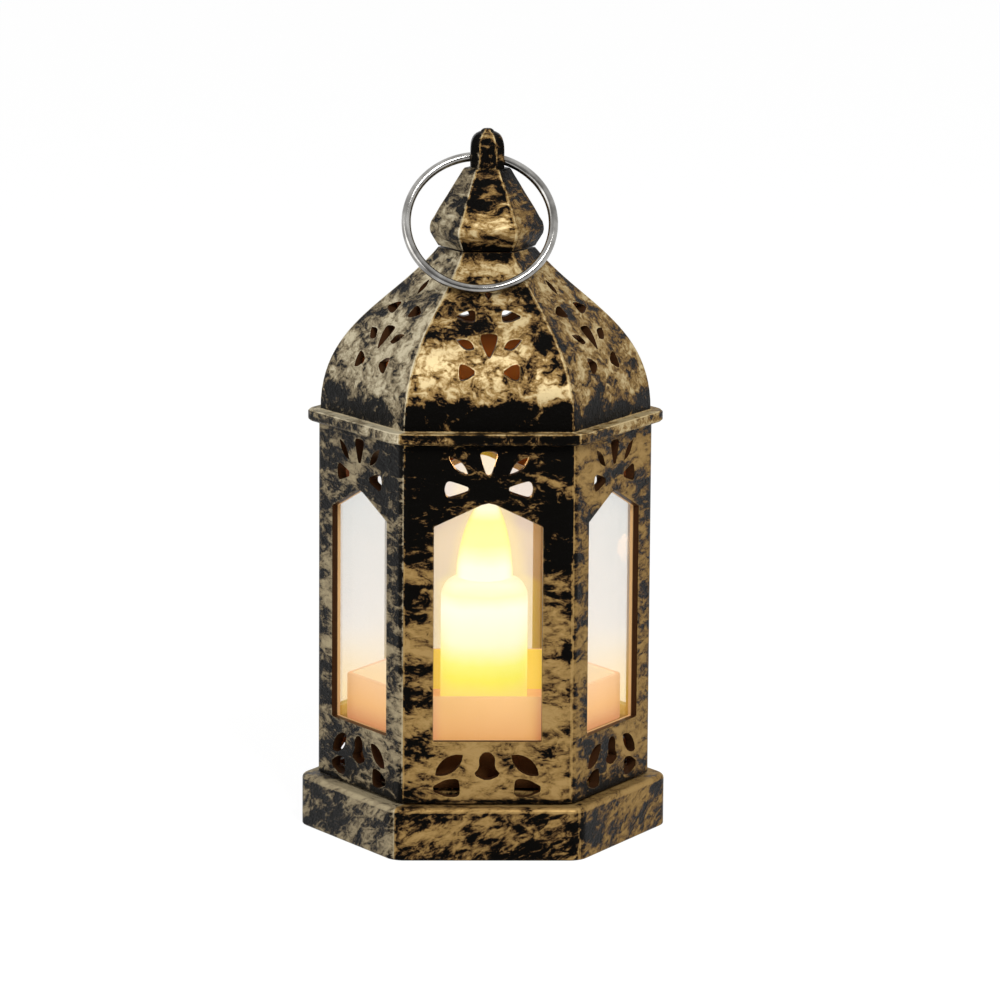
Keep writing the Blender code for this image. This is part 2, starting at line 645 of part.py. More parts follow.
def make_bottom_plate():
    """Floor of the base with the battery compartment moulded on it."""
    plate_corner = BASE_CORNER - BASE_WALL
    bm = bmesh.new()
    loft(bm, [hex_ring(PLATE_FLATS, plate_corner, PLATE_RECESS),
              hex_ring(PLATE_FLATS, plate_corner, PLATE_TOP_Z)])
    item = add_object("bottom_plate", bm, black_plastic())

    joined = bmesh.new()
    block(joined, (-HOLDER_OUTER_LENGTH / 2, -HOLDER_OUTER_WIDTH / 2, PLATE_TOP_Z - PLATE_THICKNESS / 2),
          (HOLDER_OUTER_LENGTH / 2, HOLDER_OUTER_WIDTH / 2, HOLDER_TOP_Z))
    boolean(item, joined, "guide_compartment", "UNION")
    boss = bmesh.new()
    rod(boss, BOSS_RADIUS, (DOOR_SCREW_X, 0, PLATE_TOP_Z - PLATE_THICKNESS / 2),
        (DOOR_SCREW_X, 0, PLATE_TOP_Z + DOOR_BOSS_HEIGHT), 20)
    boolean(item, boss, "guide_door_boss", "UNION")

    hollow = bmesh.new()
    block(hollow, (-HOLDER_INNER_LENGTH / 2, -HOLDER_INNER_WIDTH / 2, 0),
          (HOLDER_INNER_LENGTH / 2, HOLDER_INNER_WIDTH / 2, HOLDER_ROOF_Z))
    boolean(item, hollow, "guide_hollow", "DIFFERENCE")
    pocket = bmesh.new()
    prism(pocket, door_outline(FIT), 0, POCKET_TOP_Z, Matrix.Rotation(math.radians(90), 4, "X"))
    boolean(item, pocket, "guide_pocket", "DIFFERENCE")

    cuts = bmesh.new()
    for x, y in base_screw_places():
        screw_hole(cuts, x, y, screw_seat_z(), PLATE_TOP_Z + CUT_OVERRUN)
    door_boss_z = PLATE_TOP_Z + DOOR_BOSS_HEIGHT
    rod(cuts, SCREW_RADIUS + FIT, (DOOR_SCREW_X, 0, 0), (DOOR_SCREW_X, 0, door_boss_z + CUT_OVERRUN))
    slot_half = KNOB_LENGTH / 2 + SWITCH_TRAVEL / 2 + SEAT
    block(cuts, (-slot_half, SWITCH_Y - KNOB_WIDTH / 2 - SEAT, 0),
          (slot_half, SWITCH_Y + KNOB_WIDTH / 2 + SEAT, PLATE_TOP_Z + CUT_OVERRUN))
    for side in (-1, 1):
        tab_x = side * (HOLDER_INNER_LENGTH / 2 - CONTACT_THICKNESS / 2 - FIT)
        half_slot = CONTACT_THICKNESS / 2 + FIT
        block(cuts, (tab_x - half_slot, -CONTACT_TAB_WIDTH / 2 - FIT, HOLDER_ROOF_Z - CUT_OVERRUN),
              (tab_x + half_slot, CONTACT_TAB_WIDTH / 2 + FIT, HOLDER_TOP_Z + CUT_OVERRUN))
    boolean(item, cuts, "guide_plate_cuts", "DIFFERENCE")


def door_outline(grow):
    """Outline of the door in plan, with the lug for its screw; grow widens it all round."""
    half_length = DOOR_LENGTH / 2 + grow
    half_width = DOOR_WIDTH / 2 + grow
    lug_half = DOOR_LUG_WIDTH / 2 + grow
    outline = [(-half_length, -half_width), (half_length, -half_width), (half_length, -lug_half)]
    for step in range(7):
        angle = math.radians(-90 + 30 * step)
        outline.append((DOOR_SCREW_X + lug_half * math.cos(angle), lug_half * math.sin(angle)))
    outline += [(half_length, lug_half), (half_length, half_width), (-half_length, half_width)]
    return outline


def door_seat_z():
    """Height of the face in the door's lug that its screw's head seats on."""
    return PLATE_RECESS + SCREW_HEAD


def make_battery_door():
    """Cover plate of the battery compartment with finger grooves and a lug for its screw."""
    upright = Matrix.Rotation(math.radians(90), 4, "X")
    bm = bmesh.new()
    prism(bm, door_outline(0), PLATE_RECESS, DOOR_TOP_Z, upright)
    item = add_object("battery_door", bm, black_plastic())
    cuts = bmesh.new()
    for row in range(DOOR_GRIP_COUNT):
        x = -DOOR_LENGTH / 2 + DOOR_GRIP_MARGIN + row * DOOR_GRIP_PITCH
        block(cuts, (x, -DOOR_GRIP_LENGTH / 2, 0),
              (x + DOOR_GRIP_WIDTH, DOOR_GRIP_LENGTH / 2, PLATE_RECESS + DOOR_GRIP_DEPTH))
    screw_hole(cuts, DOOR_SCREW_X, 0, door_seat_z(), DOOR_TOP_Z + CUT_OVERRUN)
    boolean(item, cuts, "guide_door_cuts", "DIFFERENCE")
    make_screw("battery_door_screw", DOOR_SCREW_X, 0, door_seat_z())


def make_base_screws():
    """Three screws that hold the bottom plate in the base."""
    for number, (x, y) in enumerate(base_screw_places(), 1):
        make_screw(f"base_screw_{number}", x, y, screw_seat_z())


# Battery side

def make_button_cells():
    """Cells in a row along X, each with its raised cap towards the spring."""
    along_x = Matrix.Rotation(math.radians(90), 4, "Y")
    for index in range(CELL_COUNT):
        plus_x = CELL_ROW_END_X - index * (CELL_THICKNESS + CELL_GAP)
        profile = [(0, 0), (CELL_RADIUS - CELL_RIM, 0), (CELL_RADIUS, -CELL_RIM),
                   (CELL_RADIUS, -CELL_THICKNESS + CELL_CAP), (CELL_CAP_RADIUS, -CELL_THICKNESS + CELL_CAP),
                   (CELL_CAP_RADIUS, -CELL_THICKNESS), (0, -CELL_THICKNESS)]
        bm = bmesh.new()
        turned(bm, profile, 28, Matrix.Translation((plus_x, 0, CELL_AXIS_Z)) @ along_x)
        smooth(add_object(f"button_cell_{index + 1}", bm, bright_metal()))


def contact_blade(bm, x):
    """Flat contact with a narrow tab that rises through the compartment's roof."""
    half = CONTACT_WIDTH / 2
    tab = CONTACT_TAB_WIDTH / 2
    low_z = CELL_AXIS_Z - half
    shoulder_z = HOLDER_ROOF_Z - FIT
    top_z = HOLDER_TOP_Z + CONTACT_TAB_HEIGHT
    outline = [(-half, low_z), (half, low_z), (half, shoulder_z), (tab, shoulder_z), (tab, top_z),
               (-tab, top_z), (-tab, shoulder_z), (-half, shoulder_z)]
    prism(bm, outline, -CONTACT_THICKNESS / 2, CONTACT_THICKNESS / 2,
          Matrix.Translation((x, 0, 0)) @ Matrix.Rotation(math.radians(90), 4, "Z"))


def contact_x():
    return HOLDER_INNER_LENGTH / 2 - CONTACT_THICKNESS / 2 - FIT


def make_contacts():
    """Flat contact at the plus end, and a strip with its coil at the minus end."""
    bm = bmesh.new()
    contact_blade(bm, contact_x())
    add_object("contact_plate", bm, bright_metal())

    bm = bmesh.new()
    contact_blade(bm, -contact_x())
    add_object("contact_strip", bm, bright_metal())
    start_x = -contact_x() + CONTACT_THICKNESS / 2 + SPRING_WIRE + FIT
    end_x = CELL_ROW_END_X - CELL_ROW - SPRING_WIRE - FIT
    points = []
    for step in range(SPRING_STEPS + 1):
        share = step / SPRING_STEPS
        angle = 2 * math.pi * SPRING_TURNS * share
        radius = SPRING_RADIUS - SPRING_TAPER * share
        points.append((start_x + (end_x - start_x) * share, radius * math.cos(angle),
                       CELL_AXIS_Z + radius * math.sin(angle)))
    wire("contact_spring", points, SPRING_WIRE, bright_metal())


def wire(name, points, radius, finish):
    """Round wire along a list of points, with closed ends."""
    curve = bpy.data.curves.new(name, "CURVE")
    curve.dimensions = "3D"
    curve.bevel_depth = radius
    curve.bevel_resolution = 1
    curve.use_fill_caps = True
    spline = curve.splines.new("POLY")
    spline.points.add(len(points) - 1)
    for point, place in zip(spline.points, points):
        point.co = (*place, 1)
    item = bpy.data.objects.new(name, curve)
    bpy.context.scene.collection.objects.link(item)
    curve.materials.append(finish)


def smooth_route(corners, per_leg=4):
    """Even curve through the route's own points."""
    points = []
    padded = [corners[0]] + list(corners) + [corners[-1]]
    for a, b, c, d in zip(padded, padded[1:], padded[2:], padded[3:]):
        a, b, c, d = (Vector(p) for p in (a, b, c, d))
        for step in range(per_leg):
            t = step / per_leg
            points.append(0.5 * (2 * b + (c - a) * t + (2 * a - 5 * b + 4 * c - d) * t ** 2
                                 + (3 * b - a - 3 * c + d) * t ** 3))
    points.append(Vector(corners[-1]))
    return points


def make_leads():
    """Three thin wires from the battery and the switch up to the board under the LED."""
    red = material("red_lead", (0.55, 0.03, 0.02), 0.5)
    black = material("black_lead", (0.02, 0.02, 0.02), 0.5)
    tab_x = contact_x() - CONTACT_THICKNESS / 2 - SEAT
    roof_z = HOLDER_TOP_Z + SEAT + LEAD_RADIUS
    edge_y = HOLDER_OUTER_WIDTH / 2
    side_y = edge_y + SEAT + LEAD_RADIUS + LEAD_SLACK
    pin_y = SWITCH_Y - PIN_RADIUS - SEAT
    pin_z = SWITCH_Z + SWITCH_HEIGHT + SEAT + LEAD_RADIUS + FIT / 2
    rise_x = LEAD_SPACING / 2
    foot_z = CANDLE_Z + LEAD_BEND
    board_end_z = BOARD_Z - SEAT
    wire("lead_battery_to_led", smooth_route([
        (tab_x, 0, roof_z), (tab_x - LEAD_BEND, 0, roof_z + LEAD_SLACK),
        (2 * LEAD_BEND, 0, roof_z + LEAD_SLACK),
        (rise_x + LEAD_SLACK, 0, HOUSING_CEILING_Z), (rise_x, 0, CUP_Z), (rise_x, 0, foot_z),
        (PAD_X, 0, board_end_z - LEAD_BEND), (PAD_X, 0, board_end_z)]), LEAD_RADIUS, red)
    wire("lead_battery_to_switch", smooth_route([
        (-tab_x, 0, roof_z), (-tab_x + LEAD_BEND, LEAD_BEND, roof_z + LEAD_SLACK),
        (-PIN_SPACING - LEAD_BEND, edge_y - LEAD_BEND, roof_z + LEAD_SLACK),
        (-PIN_SPACING, edge_y + LEAD_RADIUS, roof_z), (-PIN_SPACING, side_y, roof_z - LEAD_BEND),
        (-PIN_SPACING, side_y, pin_z + 2 * LEAD_BEND), (-PIN_SPACING, pin_y - LEAD_BEND, pin_z + LEAD_SLACK),
        (-PIN_SPACING, pin_y, pin_z)]), LEAD_RADIUS, black)
    wire("lead_switch_to_led", smooth_route([
        (0, pin_y, pin_z), (0, pin_y - LEAD_BEND, pin_z + LEAD_SLACK), (0, side_y, pin_z + 2 * LEAD_BEND),
        (0, side_y, roof_z - LEAD_BEND), (0, edge_y + LEAD_RADIUS, roof_z),
        (0, edge_y - LEAD_BEND, roof_z + LEAD_SLACK),
        (-rise_x, LEAD_BEND, roof_z + LEAD_SLACK), (-rise_x, 0, HOUSING_CEILING_Z), (-rise_x, 0, CUP_Z),
        (-rise_x, 0, foot_z), (-PAD_X, 0, board_end_z - LEAD_BEND), (-PAD_X, 0, board_end_z)]),
        LEAD_RADIUS, black)


# Slide switch

def make_switch():
    """Slide switch: hollow body, sliding knob and three pins. The knob rests at the lit end."""
    half_length = SWITCH_LENGTH / 2
    half_width = SWITCH_WIDTH / 2
    top_z = SWITCH_Z + SWITCH_HEIGHT
    bm = bmesh.new()
    block(bm, (-half_length, SWITCH_Y - half_width, SWITCH_Z), (half_length, SWITCH_Y + half_width, top_z))
    housing = add_object("switch_housing", bm, bright_metal())
    room_half = SLIDER_LENGTH / 2 + SWITCH_TRAVEL / 2 + SEAT
    slot_half = KNOB_LENGTH / 2 + SWITCH_TRAVEL / 2 + SEAT
    room_low = SWITCH_Z + SWITCH_WALL
    cuts = bmesh.new()
    block(cuts, (-room_half, SWITCH_Y - half_width + SWITCH_WALL, room_low),
          (room_half, SWITCH_Y + half_width - SWITCH_WALL, top_z - SWITCH_WALL))
    boolean(housing, cuts, "guide_switch_room", "DIFFERENCE")
    slot = bmesh.new()
    block(slot, (-slot_half, SWITCH_Y - KNOB_WIDTH / 2 - SEAT, SWITCH_Z - CUT_OVERRUN),
          (slot_half, SWITCH_Y + KNOB_WIDTH / 2 + SEAT, room_low + SLIDER_HEIGHT / 2))
    boolean(housing, slot, "guide_switch_slot", "DIFFERENCE")

    rest_x = -SWITCH_TRAVEL / 2
    slide_half = half_width - SWITCH_WALL - SEAT
    knob_low = PLATE_RECESS - KNOB_PROUD
    block_low = room_low + SEAT
    knob_high = block_low + SLIDER_HEIGHT / 2
    bm = bmesh.new()
    block(bm, (rest_x - SLIDER_LENGTH / 2, SWITCH_Y - slide_half, block_low),
          (rest_x + SLIDER_LENGTH / 2, SWITCH_Y + slide_half, block_low + SLIDER_HEIGHT))
    slider = add_object("switch_slider", bm, black_plastic(), (rest_x, SWITCH_Y, block_low))
    knob = bmesh.new()
    block(knob, (rest_x - KNOB_LENGTH / 2, SWITCH_Y - KNOB_WIDTH / 2, knob_low),
          (rest_x + KNOB_LENGTH / 2, SWITCH_Y + KNOB_WIDTH / 2, knob_high))
    boolean(slider, knob, "guide_knob", "UNION")

    for number in (1, 2, 3):
        x = (number - 2) * PIN_SPACING
        bm = bmesh.new()
        rod(bm, PIN_RADIUS, (x, SWITCH_Y, top_z + SEAT), (x, SWITCH_Y, top_z + SEAT + PIN_LENGTH), 8)
        smooth(add_object(f"switch_pin_{number}", bm, bright_metal()))


# Body

def make_body_frame():
    """Pierced hexagonal tube: six windows, a fan over each and leaves under each."""
    inner_flats = BODY_FLATS - 2 * BODY_WALL
    inner_corner = BODY_CORNER - BODY_WALL
    bm = bmesh.new()
    rings = [hex_ring(BODY_FLATS, BODY_CORNER, BODY_FOOT_Z), hex_ring(BODY_FLATS, BODY_CORNER, BODY_TOP_Z)]
    rings += [hex_ring(inner_flats, inner_corner, z) for z in (BODY_TOP_Z, BODY_FOOT_Z)]
    loft(bm, rings, closed=True)
    item = add_object("body_frame", bm, worn_gold())
    near = -BODY_FLATS / 2 - CUT_OVERRUN
    far = -inner_flats / 2 + CUT_OVERRUN
    cuts = bmesh.new()
    for side in range(SIDES):
        for outline in panel_outlines():
            prism(cuts, outline, near, far, turn_to_side(side))
    boolean(item, cuts, "guide_body_cuts", "DIFFERENCE")
    smooth(item)


def make_window_panes():
    """Clear pane behind each window, its face on the inside of the wall."""
    clear = material("clear_plastic", (0.9, 0.9, 0.88), 0.05, alpha=0.3)
    face = -(BODY_FLATS / 2 - BODY_WALL - SEAT)
    for side in range(SIDES):
        bm = bmesh.new()
        prism(bm, window_outline(PANE_OVERLAP), face, face + PANE_THICKNESS)
        item = add_object(f"window_pane_{side + 1}", bm, clear)
        item.rotation_euler = (0, 0, side * SIDE_ANGLE)


# Roof

def make_roof_dome():
    """Eave flange and ogee dome in one moulding, pierced in every facet."""
    outer = dome_profile()
    inner = inset_profile(outer, DOME_WALL)
    skirt_flats = BODY_FLATS - 2 * BODY_WALL - 2 * SEAT
    skirt_corner = BODY_CORNER - BODY_WALL
    ceiling_z = DOME_NECK_Z - DOME_WALL
    hole_flats = SPIGOT_FLATS + 2 * SEAT
    bm = bmesh.new()
    rings = [hex_ring(EAVE_FLATS - 2 * EAVE_EDGE, EAVE_CORNER - EAVE_EDGE, EAVE_Z),
             hex_ring(EAVE_FLATS, EAVE_CORNER, EAVE_Z + EAVE_EDGE),
             hex_ring(EAVE_FLATS, EAVE_CORNER, DOME_FOOT_Z - EAVE_EDGE),
             hex_ring(EAVE_FLATS - 2 * EAVE_EDGE, EAVE_CORNER - EAVE_EDGE, DOME_FOOT_Z)]
    for point in outer:
        rings.append(hex_ring(2 * point.x, DOME_ARRIS, point.y))
    rings.append(hex_ring(hole_flats, DOME_ARRIS / 2, DOME_NECK_Z))
    rings.append(hex_ring(hole_flats, DOME_ARRIS / 2, ceiling_z))
    for point in reversed(inner[1:]):
        if point.y < ceiling_z - DOME_WALL / 4:
            rings.append(hex_ring(2 * point.x, DOME_ARRIS / 2, point.y))
    inner_foot_flats = 2 * inner[0].x
    rings.append(hex_ring(inner_foot_flats, DOME_ARRIS / 2, DOME_FOOT_Z))
    rings.append(hex_ring(inner_foot_flats, DOME_ARRIS / 2, EAVE_Z))
    skirt_inner = skirt_flats - 2 * DOME_WALL
    rings.append(hex_ring(skirt_inner, skirt_corner, EAVE_Z - SKIRT_DEPTH))
    rings.append(hex_ring(skirt_flats, skirt_corner, EAVE_Z - SKIRT_DEPTH))
    rings.append(hex_ring(skirt_flats, skirt_corner, EAVE_Z))
    loft(bm, rings, closed=True)
    item = add_object("roof_dome", bm, worn_gold())
    cuts = bmesh.new()
    for side in range(SIDES):
        for outline in dome_outlines():
            low = min(z for _, z in outline)
            high = max(z for _, z in outline)
            near = -dome_distance(low) - CUT_OVERRUN
            far = -dome_distance(high) + 3 * DOME_WALL
            prism(cuts, outline, near, far, turn_to_side(side))
    boolean(item, cuts, "guide_dome_cuts", "DIFFERENCE")
    smooth(item)


def make_cupola_finial():
    """Six-sided bell that plugs into the dome's neck, with the drilled finial post on top."""
    lip_z = BELL_Z + BELL_LIP
    bm = bmesh.new()
    rings = [hex_ring(SPIGOT_FLATS, DOME_ARRIS / 2, BELL_Z - SPIGOT_DEPTH),
             hex_ring(SPIGOT_FLATS, DOME_ARRIS / 2, BELL_Z),
             hex_ring(DOME_NECK_FLATS, BELL_ARRIS, BELL_Z)]
    for lift, grow in ((0.45, 0.55), (0.80, 0.93), (1.0, 1.0)):
        flats = DOME_NECK_FLATS + (BELL_FLATS - DOME_NECK_FLATS) * grow
        rings.append(hex_ring(flats, BELL_ARRIS, BELL_Z + BELL_LIP * lift))
    slope_z = BELL_TOP_Z - lip_z
    for lift, share in ((0.07, 0.98), (0.20, 0.86), (0.55, 0.48), (0.90, 0.06)):
        flats = BELL_SHOULDER_FLATS + (BELL_FLATS - BELL_SHOULDER_FLATS) * share
        rings.append(hex_ring(flats, BELL_ARRIS, lip_z + slope_z * lift))
    rings.append(hex_ring(BELL_SHOULDER_FLATS - BELL_ARRIS, BELL_ARRIS, BELL_TOP_Z))
    loft(bm, rings)
    item = add_object("cupola_finial", bm, worn_gold())

    post = bmesh.new()
    rings = [hex_ring(POST_FLATS, POST_ARRIS, BELL_TOP_Z - POST_FLATS / 4, SIDE_ANGLE / 2)]
    cap_z = BELL_TOP_Z + POST_HEIGHT
    for drop, share in ((0.50, 1.0), (0.32, 0.97), (0.18, 0.87), (0.07, 0.68), (0.0, 0.38)):
        rings.append(hex_ring(POST_FLATS * share, POST_ARRIS * share, cap_z - POST_HEIGHT * drop,
                              SIDE_ANGLE / 2))
    rings.append(hex_ring(POST_FLATS * 0.34, POST_ARRIS * 0.9, cap_z + NUB_HEIGHT * 0.7, SIDE_ANGLE / 2))
    rings.append(hex_ring(POST_FLATS * 0.18, POST_ARRIS * 0.5, cap_z + NUB_HEIGHT, SIDE_ANGLE / 2))
    loft(post, rings)
    boolean(item, post, "guide_post", "UNION")

    hole = bmesh.new()
    rod(hole, RING_HOLE_RADIUS, (-POST_FLATS, 0, RING_AXIS_Z), (POST_FLATS, 0, RING_AXIS_Z), 24)
    boolean(item, hole, "guide_ring_hole", "DIFFERENCE")
    smooth(item, 25)


def make_hanging_ring():
    """Round-wire ring through the finial, leaning on the front of the dome."""
    lean = ring_rest_lean()
    drop = RING_RADIUS - ring_drop()
    bpy.ops.mesh.primitive_torus_add(major_segments=RING_STEPS, minor_segments=RING_SIDES,
                                     major_radius=RING_RADIUS, minor_radius=RING_WIRE)
    ring = bpy.context.object
    ring.name = "hanging_ring"
    ring.data.name = "hanging_ring"
    place = Matrix.Translation((RING_SHIFT, 0, -drop)) @ Matrix.Rotation(math.radians(90), 4, "X")
    ring.data.transform(place)
    ring.location = (0, 0, RING_AXIS_Z)
    ring.rotation_euler = (-lean, 0, 0)
    ring.data.materials.append(bright_metal())
    smooth(ring)


# Candle

def make_candle_cup():
    """Milky hexagonal cup on the housing, with a collar on its floor for the candle's foot."""
    inner_flats = CUP_FLATS - 2 * CUP_WALL
    inner_corner = CUP_CORNER - CUP_WALL
    top_z = CUP_Z + CUP_HEIGHT
    bm = bmesh.new()
    loft(bm, [hex_ring(inner_flats, inner_corner, CUP_FLOOR_Z), hex_ring(inner_flats, inner_corner, top_z),
              hex_ring(CUP_FLATS, CUP_CORNER, top_z), hex_ring(CUP_FLATS, CUP_CORNER, CUP_Z)])
    item = add_object("candle_cup", bm, milky_plastic())
    collar = bmesh.new()
    collar_radius = CANDLE_BORE - SEAT
    collar_z = CUP_FLOOR_Z + COLLAR_HEIGHT
    rod(collar, collar_radius, (0, 0, CUP_FLOOR_Z - CUP_FLOOR / 2), (0, 0, collar_z), 24)
    boolean(item, collar, "guide_collar", "UNION")
    hollow = bmesh.new()
    rod(hollow, collar_radius - COLLAR_WALL, (0, 0, CUP_FLOOR_Z), (0, 0, collar_z + CUT_OVERRUN), 24)
    boolean(item, hollow, "guide_collar_bore", "DIFFERENCE")
    hole = bmesh.new()
    rod(hole, WIRE_HOLE_RADIUS, (0, 0, CUP_Z - CUT_OVERRUN), (0, 0, CUP_FLOOR_Z + CUT_OVERRUN), 20)
    boolean(item, hole, "guide_wire_hole", "DIFFERENCE")
    smooth(item)


def make_candle_body():
    """Hollow milky candle with a soft shoulder and a ledge inside for the board."""
    top_hole = FLAME_SPIGOT_RADIUS + SEAT
    ledge_z = CANDLE_Z + CANDLE_LEDGE_HEIGHT
    ceiling_z = CANDLE_TOP_Z - CANDLE_TOP
    rim = FLAME_RADIUS
    profile = [(CANDLE_BORE, CANDLE_Z), (CANDLE_RADIUS, CANDLE_Z)]
    for step in range(6):
        angle = math.radians(90) * step / 5
        profile.append((rim + (CANDLE_RADIUS - rim) * math.cos(angle),
                        CANDLE_TOP_Z - CANDLE_SHOULDER * (1 - math.sin(angle))))
    profile += [(top_hole, CANDLE_TOP_Z), (top_hole, ceiling_z), (CANDLE_BORE - CANDLE_LEDGE, ceiling_z),
                (CANDLE_BORE - CANDLE_LEDGE, ledge_z), (CANDLE_BORE, ledge_z), (CANDLE_BORE, CANDLE_Z)]
    bm = bmesh.new()
    turned(bm, profile)
    smooth(add_object("candle_body", bm, milky_plastic()))


def make_flame_tip():
    """Flame-shaped lens with a slight lean, plugged into the candle's top, hollow for the LED."""
    bm = bmesh.new()
    steps = 20
    spigot_z = FLAME_Z - FLAME_SPIGOT_DEPTH
    bore_z = FLAME_Z + FLAME_BORE_HEIGHT
    rings = [round_ring(LED_BORE * 0.3, bore_z + LED_BORE, steps), round_ring(LED_BORE, bore_z, steps),
             round_ring(LED_BORE, spigot_z, steps), round_ring(FLAME_SPIGOT_RADIUS, spigot_z, steps),
             round_ring(FLAME_SPIGOT_RADIUS, FLAME_Z, steps), round_ring(FLAME_RADIUS, FLAME_Z, steps)]
    for share, width in FLAME_PROFILE:
        lean = FLAME_LEAN * share ** 2
        rings.append(round_ring(FLAME_RADIUS * width, FLAME_Z + FLAME_HEIGHT * share, steps, lean))
    loft(bm, rings)
    smooth(add_object("flame_tip", bm, material("flame_plastic", (1.0, 0.85, 0.5), 0.3)))


def make_led_and_board():
    """LED with its two legs, on the small round board that seats under the candle's ledge."""
    dome_z = LED_Z + LED_LENGTH - LED_RADIUS
    dome = [(LED_RADIUS * math.cos(angle), dome_z + LED_RADIUS * math.sin(angle))
            for angle in (0, math.radians(30), math.radians(60))]
    profile = [(0, LED_Z), (LED_FLANGE_RADIUS, LED_Z), (LED_FLANGE_RADIUS, LED_Z + LED_FLANGE),
               (LED_RADIUS, LED_Z + LED_FLANGE)] + dome + [(0, LED_Z + LED_LENGTH)]
    bm = bmesh.new()
    turned(bm, profile, 20)
    smooth(add_object("flicker_led", bm, material("led_lens", (1.0, 0.8, 0.35), 0.2)))

    board_radius = CANDLE_BORE - SEAT
    bm = bmesh.new()
    rod(bm, board_radius, (0, 0, BOARD_Z), (0, 0, BOARD_Z + BOARD_THICKNESS), 28)
    board = add_object("led_board", bm, material("board_green", (0.05, 0.25, 0.08), 0.5))
    holes = bmesh.new()
    board_top_z = BOARD_Z + BOARD_THICKNESS
    for number, x in ((1, -LEG_SPACING / 2), (2, LEG_SPACING / 2)):
        rod(holes, LEG_RADIUS + SEAT, (x, 0, BOARD_Z - CUT_OVERRUN), (x, 0, board_top_z + CUT_OVERRUN), 10)
        leg = bmesh.new()
        rod(leg, LEG_RADIUS, (x, 0, LED_Z - SEAT - LEG_LENGTH), (x, 0, LED_Z - SEAT), 8)
        smooth(add_object(f"led_leg_{number}", leg, bright_metal()))
    boolean(board, holes, "guide_leg_holes", "DIFFERENCE")
    smooth(board)


def main():
    for item in list(bpy.data.objects):
        bpy.data.objects.remove(item, do_unlink=True)
    make_base_shell()
    make_bottom_plate()
    make_battery_door()
    make_base_screws()
    make_button_cells()
    make_contacts()
    make_switch()
    make_body_frame()
    make_window_panes()
    make_roof_dome()
    make_cupola_finial()
    make_hanging_ring()
    make_candle_cup()
    make_candle_body()
    make_flame_tip()
    make_led_and_board()
    make_leads()


main()
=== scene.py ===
# Dressing of the hanging LED candle lantern: finer pieces, finishes, floor, light and camera.
# Metres, +Z up, one window facing -Y. Angles are in degrees where a name says so.

import math

import bmesh
import bpy
from mathutils import Matrix, Vector
from mathutils.geometry import interpolate_bezier


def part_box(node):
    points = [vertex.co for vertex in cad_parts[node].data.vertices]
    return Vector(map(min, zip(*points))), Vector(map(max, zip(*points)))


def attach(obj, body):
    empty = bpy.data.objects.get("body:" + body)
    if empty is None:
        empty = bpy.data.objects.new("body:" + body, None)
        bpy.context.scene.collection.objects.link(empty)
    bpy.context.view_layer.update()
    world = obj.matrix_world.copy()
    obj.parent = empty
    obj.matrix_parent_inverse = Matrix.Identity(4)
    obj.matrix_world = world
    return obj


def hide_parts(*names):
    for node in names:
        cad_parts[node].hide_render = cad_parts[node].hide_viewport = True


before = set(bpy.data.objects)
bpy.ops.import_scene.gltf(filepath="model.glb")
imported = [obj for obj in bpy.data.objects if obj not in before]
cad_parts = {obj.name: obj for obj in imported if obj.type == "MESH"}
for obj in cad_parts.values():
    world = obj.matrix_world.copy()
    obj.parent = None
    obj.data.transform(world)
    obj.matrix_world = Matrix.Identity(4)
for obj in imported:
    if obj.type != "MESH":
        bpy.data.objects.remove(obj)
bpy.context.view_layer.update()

SIDE = math.radians(60)
HALF_SIDE = math.radians(30)
CORNER_TO_FLAT = 1 / math.cos(HALF_SIDE)
MERGE = 1e-6
CUT_OVERRUN = 0.001
SEAT = 0.0003

# Base
BASE_FLATS = 0.0566
BASE_HEIGHT = 0.0093
BASE_WALL = 0.0018
BASE_DECK_Z = 0.0077
BASE_CORNER = 0.003
BASE_EDGE = 0.0008
BASE_FOOT_EDGE = 0.00025
BASE_BREAK = 0.00012
RIB_FLATS = 0.0472
RIB_HEIGHT = 0.002
RIB_WALL = 0.0012
HOUSING_FLATS = 0.042
HOUSING_TOP_Z = 0.0189
HOUSING_WALL = 0.0014
BASE_PAINT_TOP_Z = 0.019
HOUSING_CORNER = 0.0018
WIRE_HOLE = 0.0025
BOSS_CIRCLE = 0.0231
BOSS_RADIUS = 0.0025
BOSS_FOOT_Z = 0.0033
BOSS_ROOT = 0.0008
BASE_SCREW_HOLE = 0.00115
BASE_SCREW_DEPTH = 0.0065

# Body
BODY_FLATS = 0.0514
BODY_FOOT_Z = 0.0096
BODY_TOP_Z = 0.0726
BODY_WALL = 0.0018
BODY_CORNER = 0.0025
BODY_BREAK = 0.00016
WINDOW_HALF_WIDTH = 0.0094
WINDOW_SILL_Z = 0.0206
WINDOW_SPRING_Z = 0.0584
WINDOW_APEX_Z = 0.0628
FAN_Z = 0.0652

# Roof
EAVE_FLATS = 0.0553
EAVE_Z = 0.0729
EAVE_CORNER = 0.004
EAVE_EDGE = 0.0003
SKIRT_DEPTH = 0.0013
DOME_FOOT_Z = 0.0748
DOME_NECK_Z = 0.10355
DOME_FOOT_FLATS = 0.0506
DOME_NECK_FLATS = 0.015
DOME_WALL = 0.0014
DOME_ARRIS = 0.0009
DOME_BREAK = 0.00012
DOME_STEPS = 26
DOME_FOOT_PULL = 0.0152
DOME_NECK_PULL = (0.0072, -0.01)
SPIGOT_FLATS = 0.007

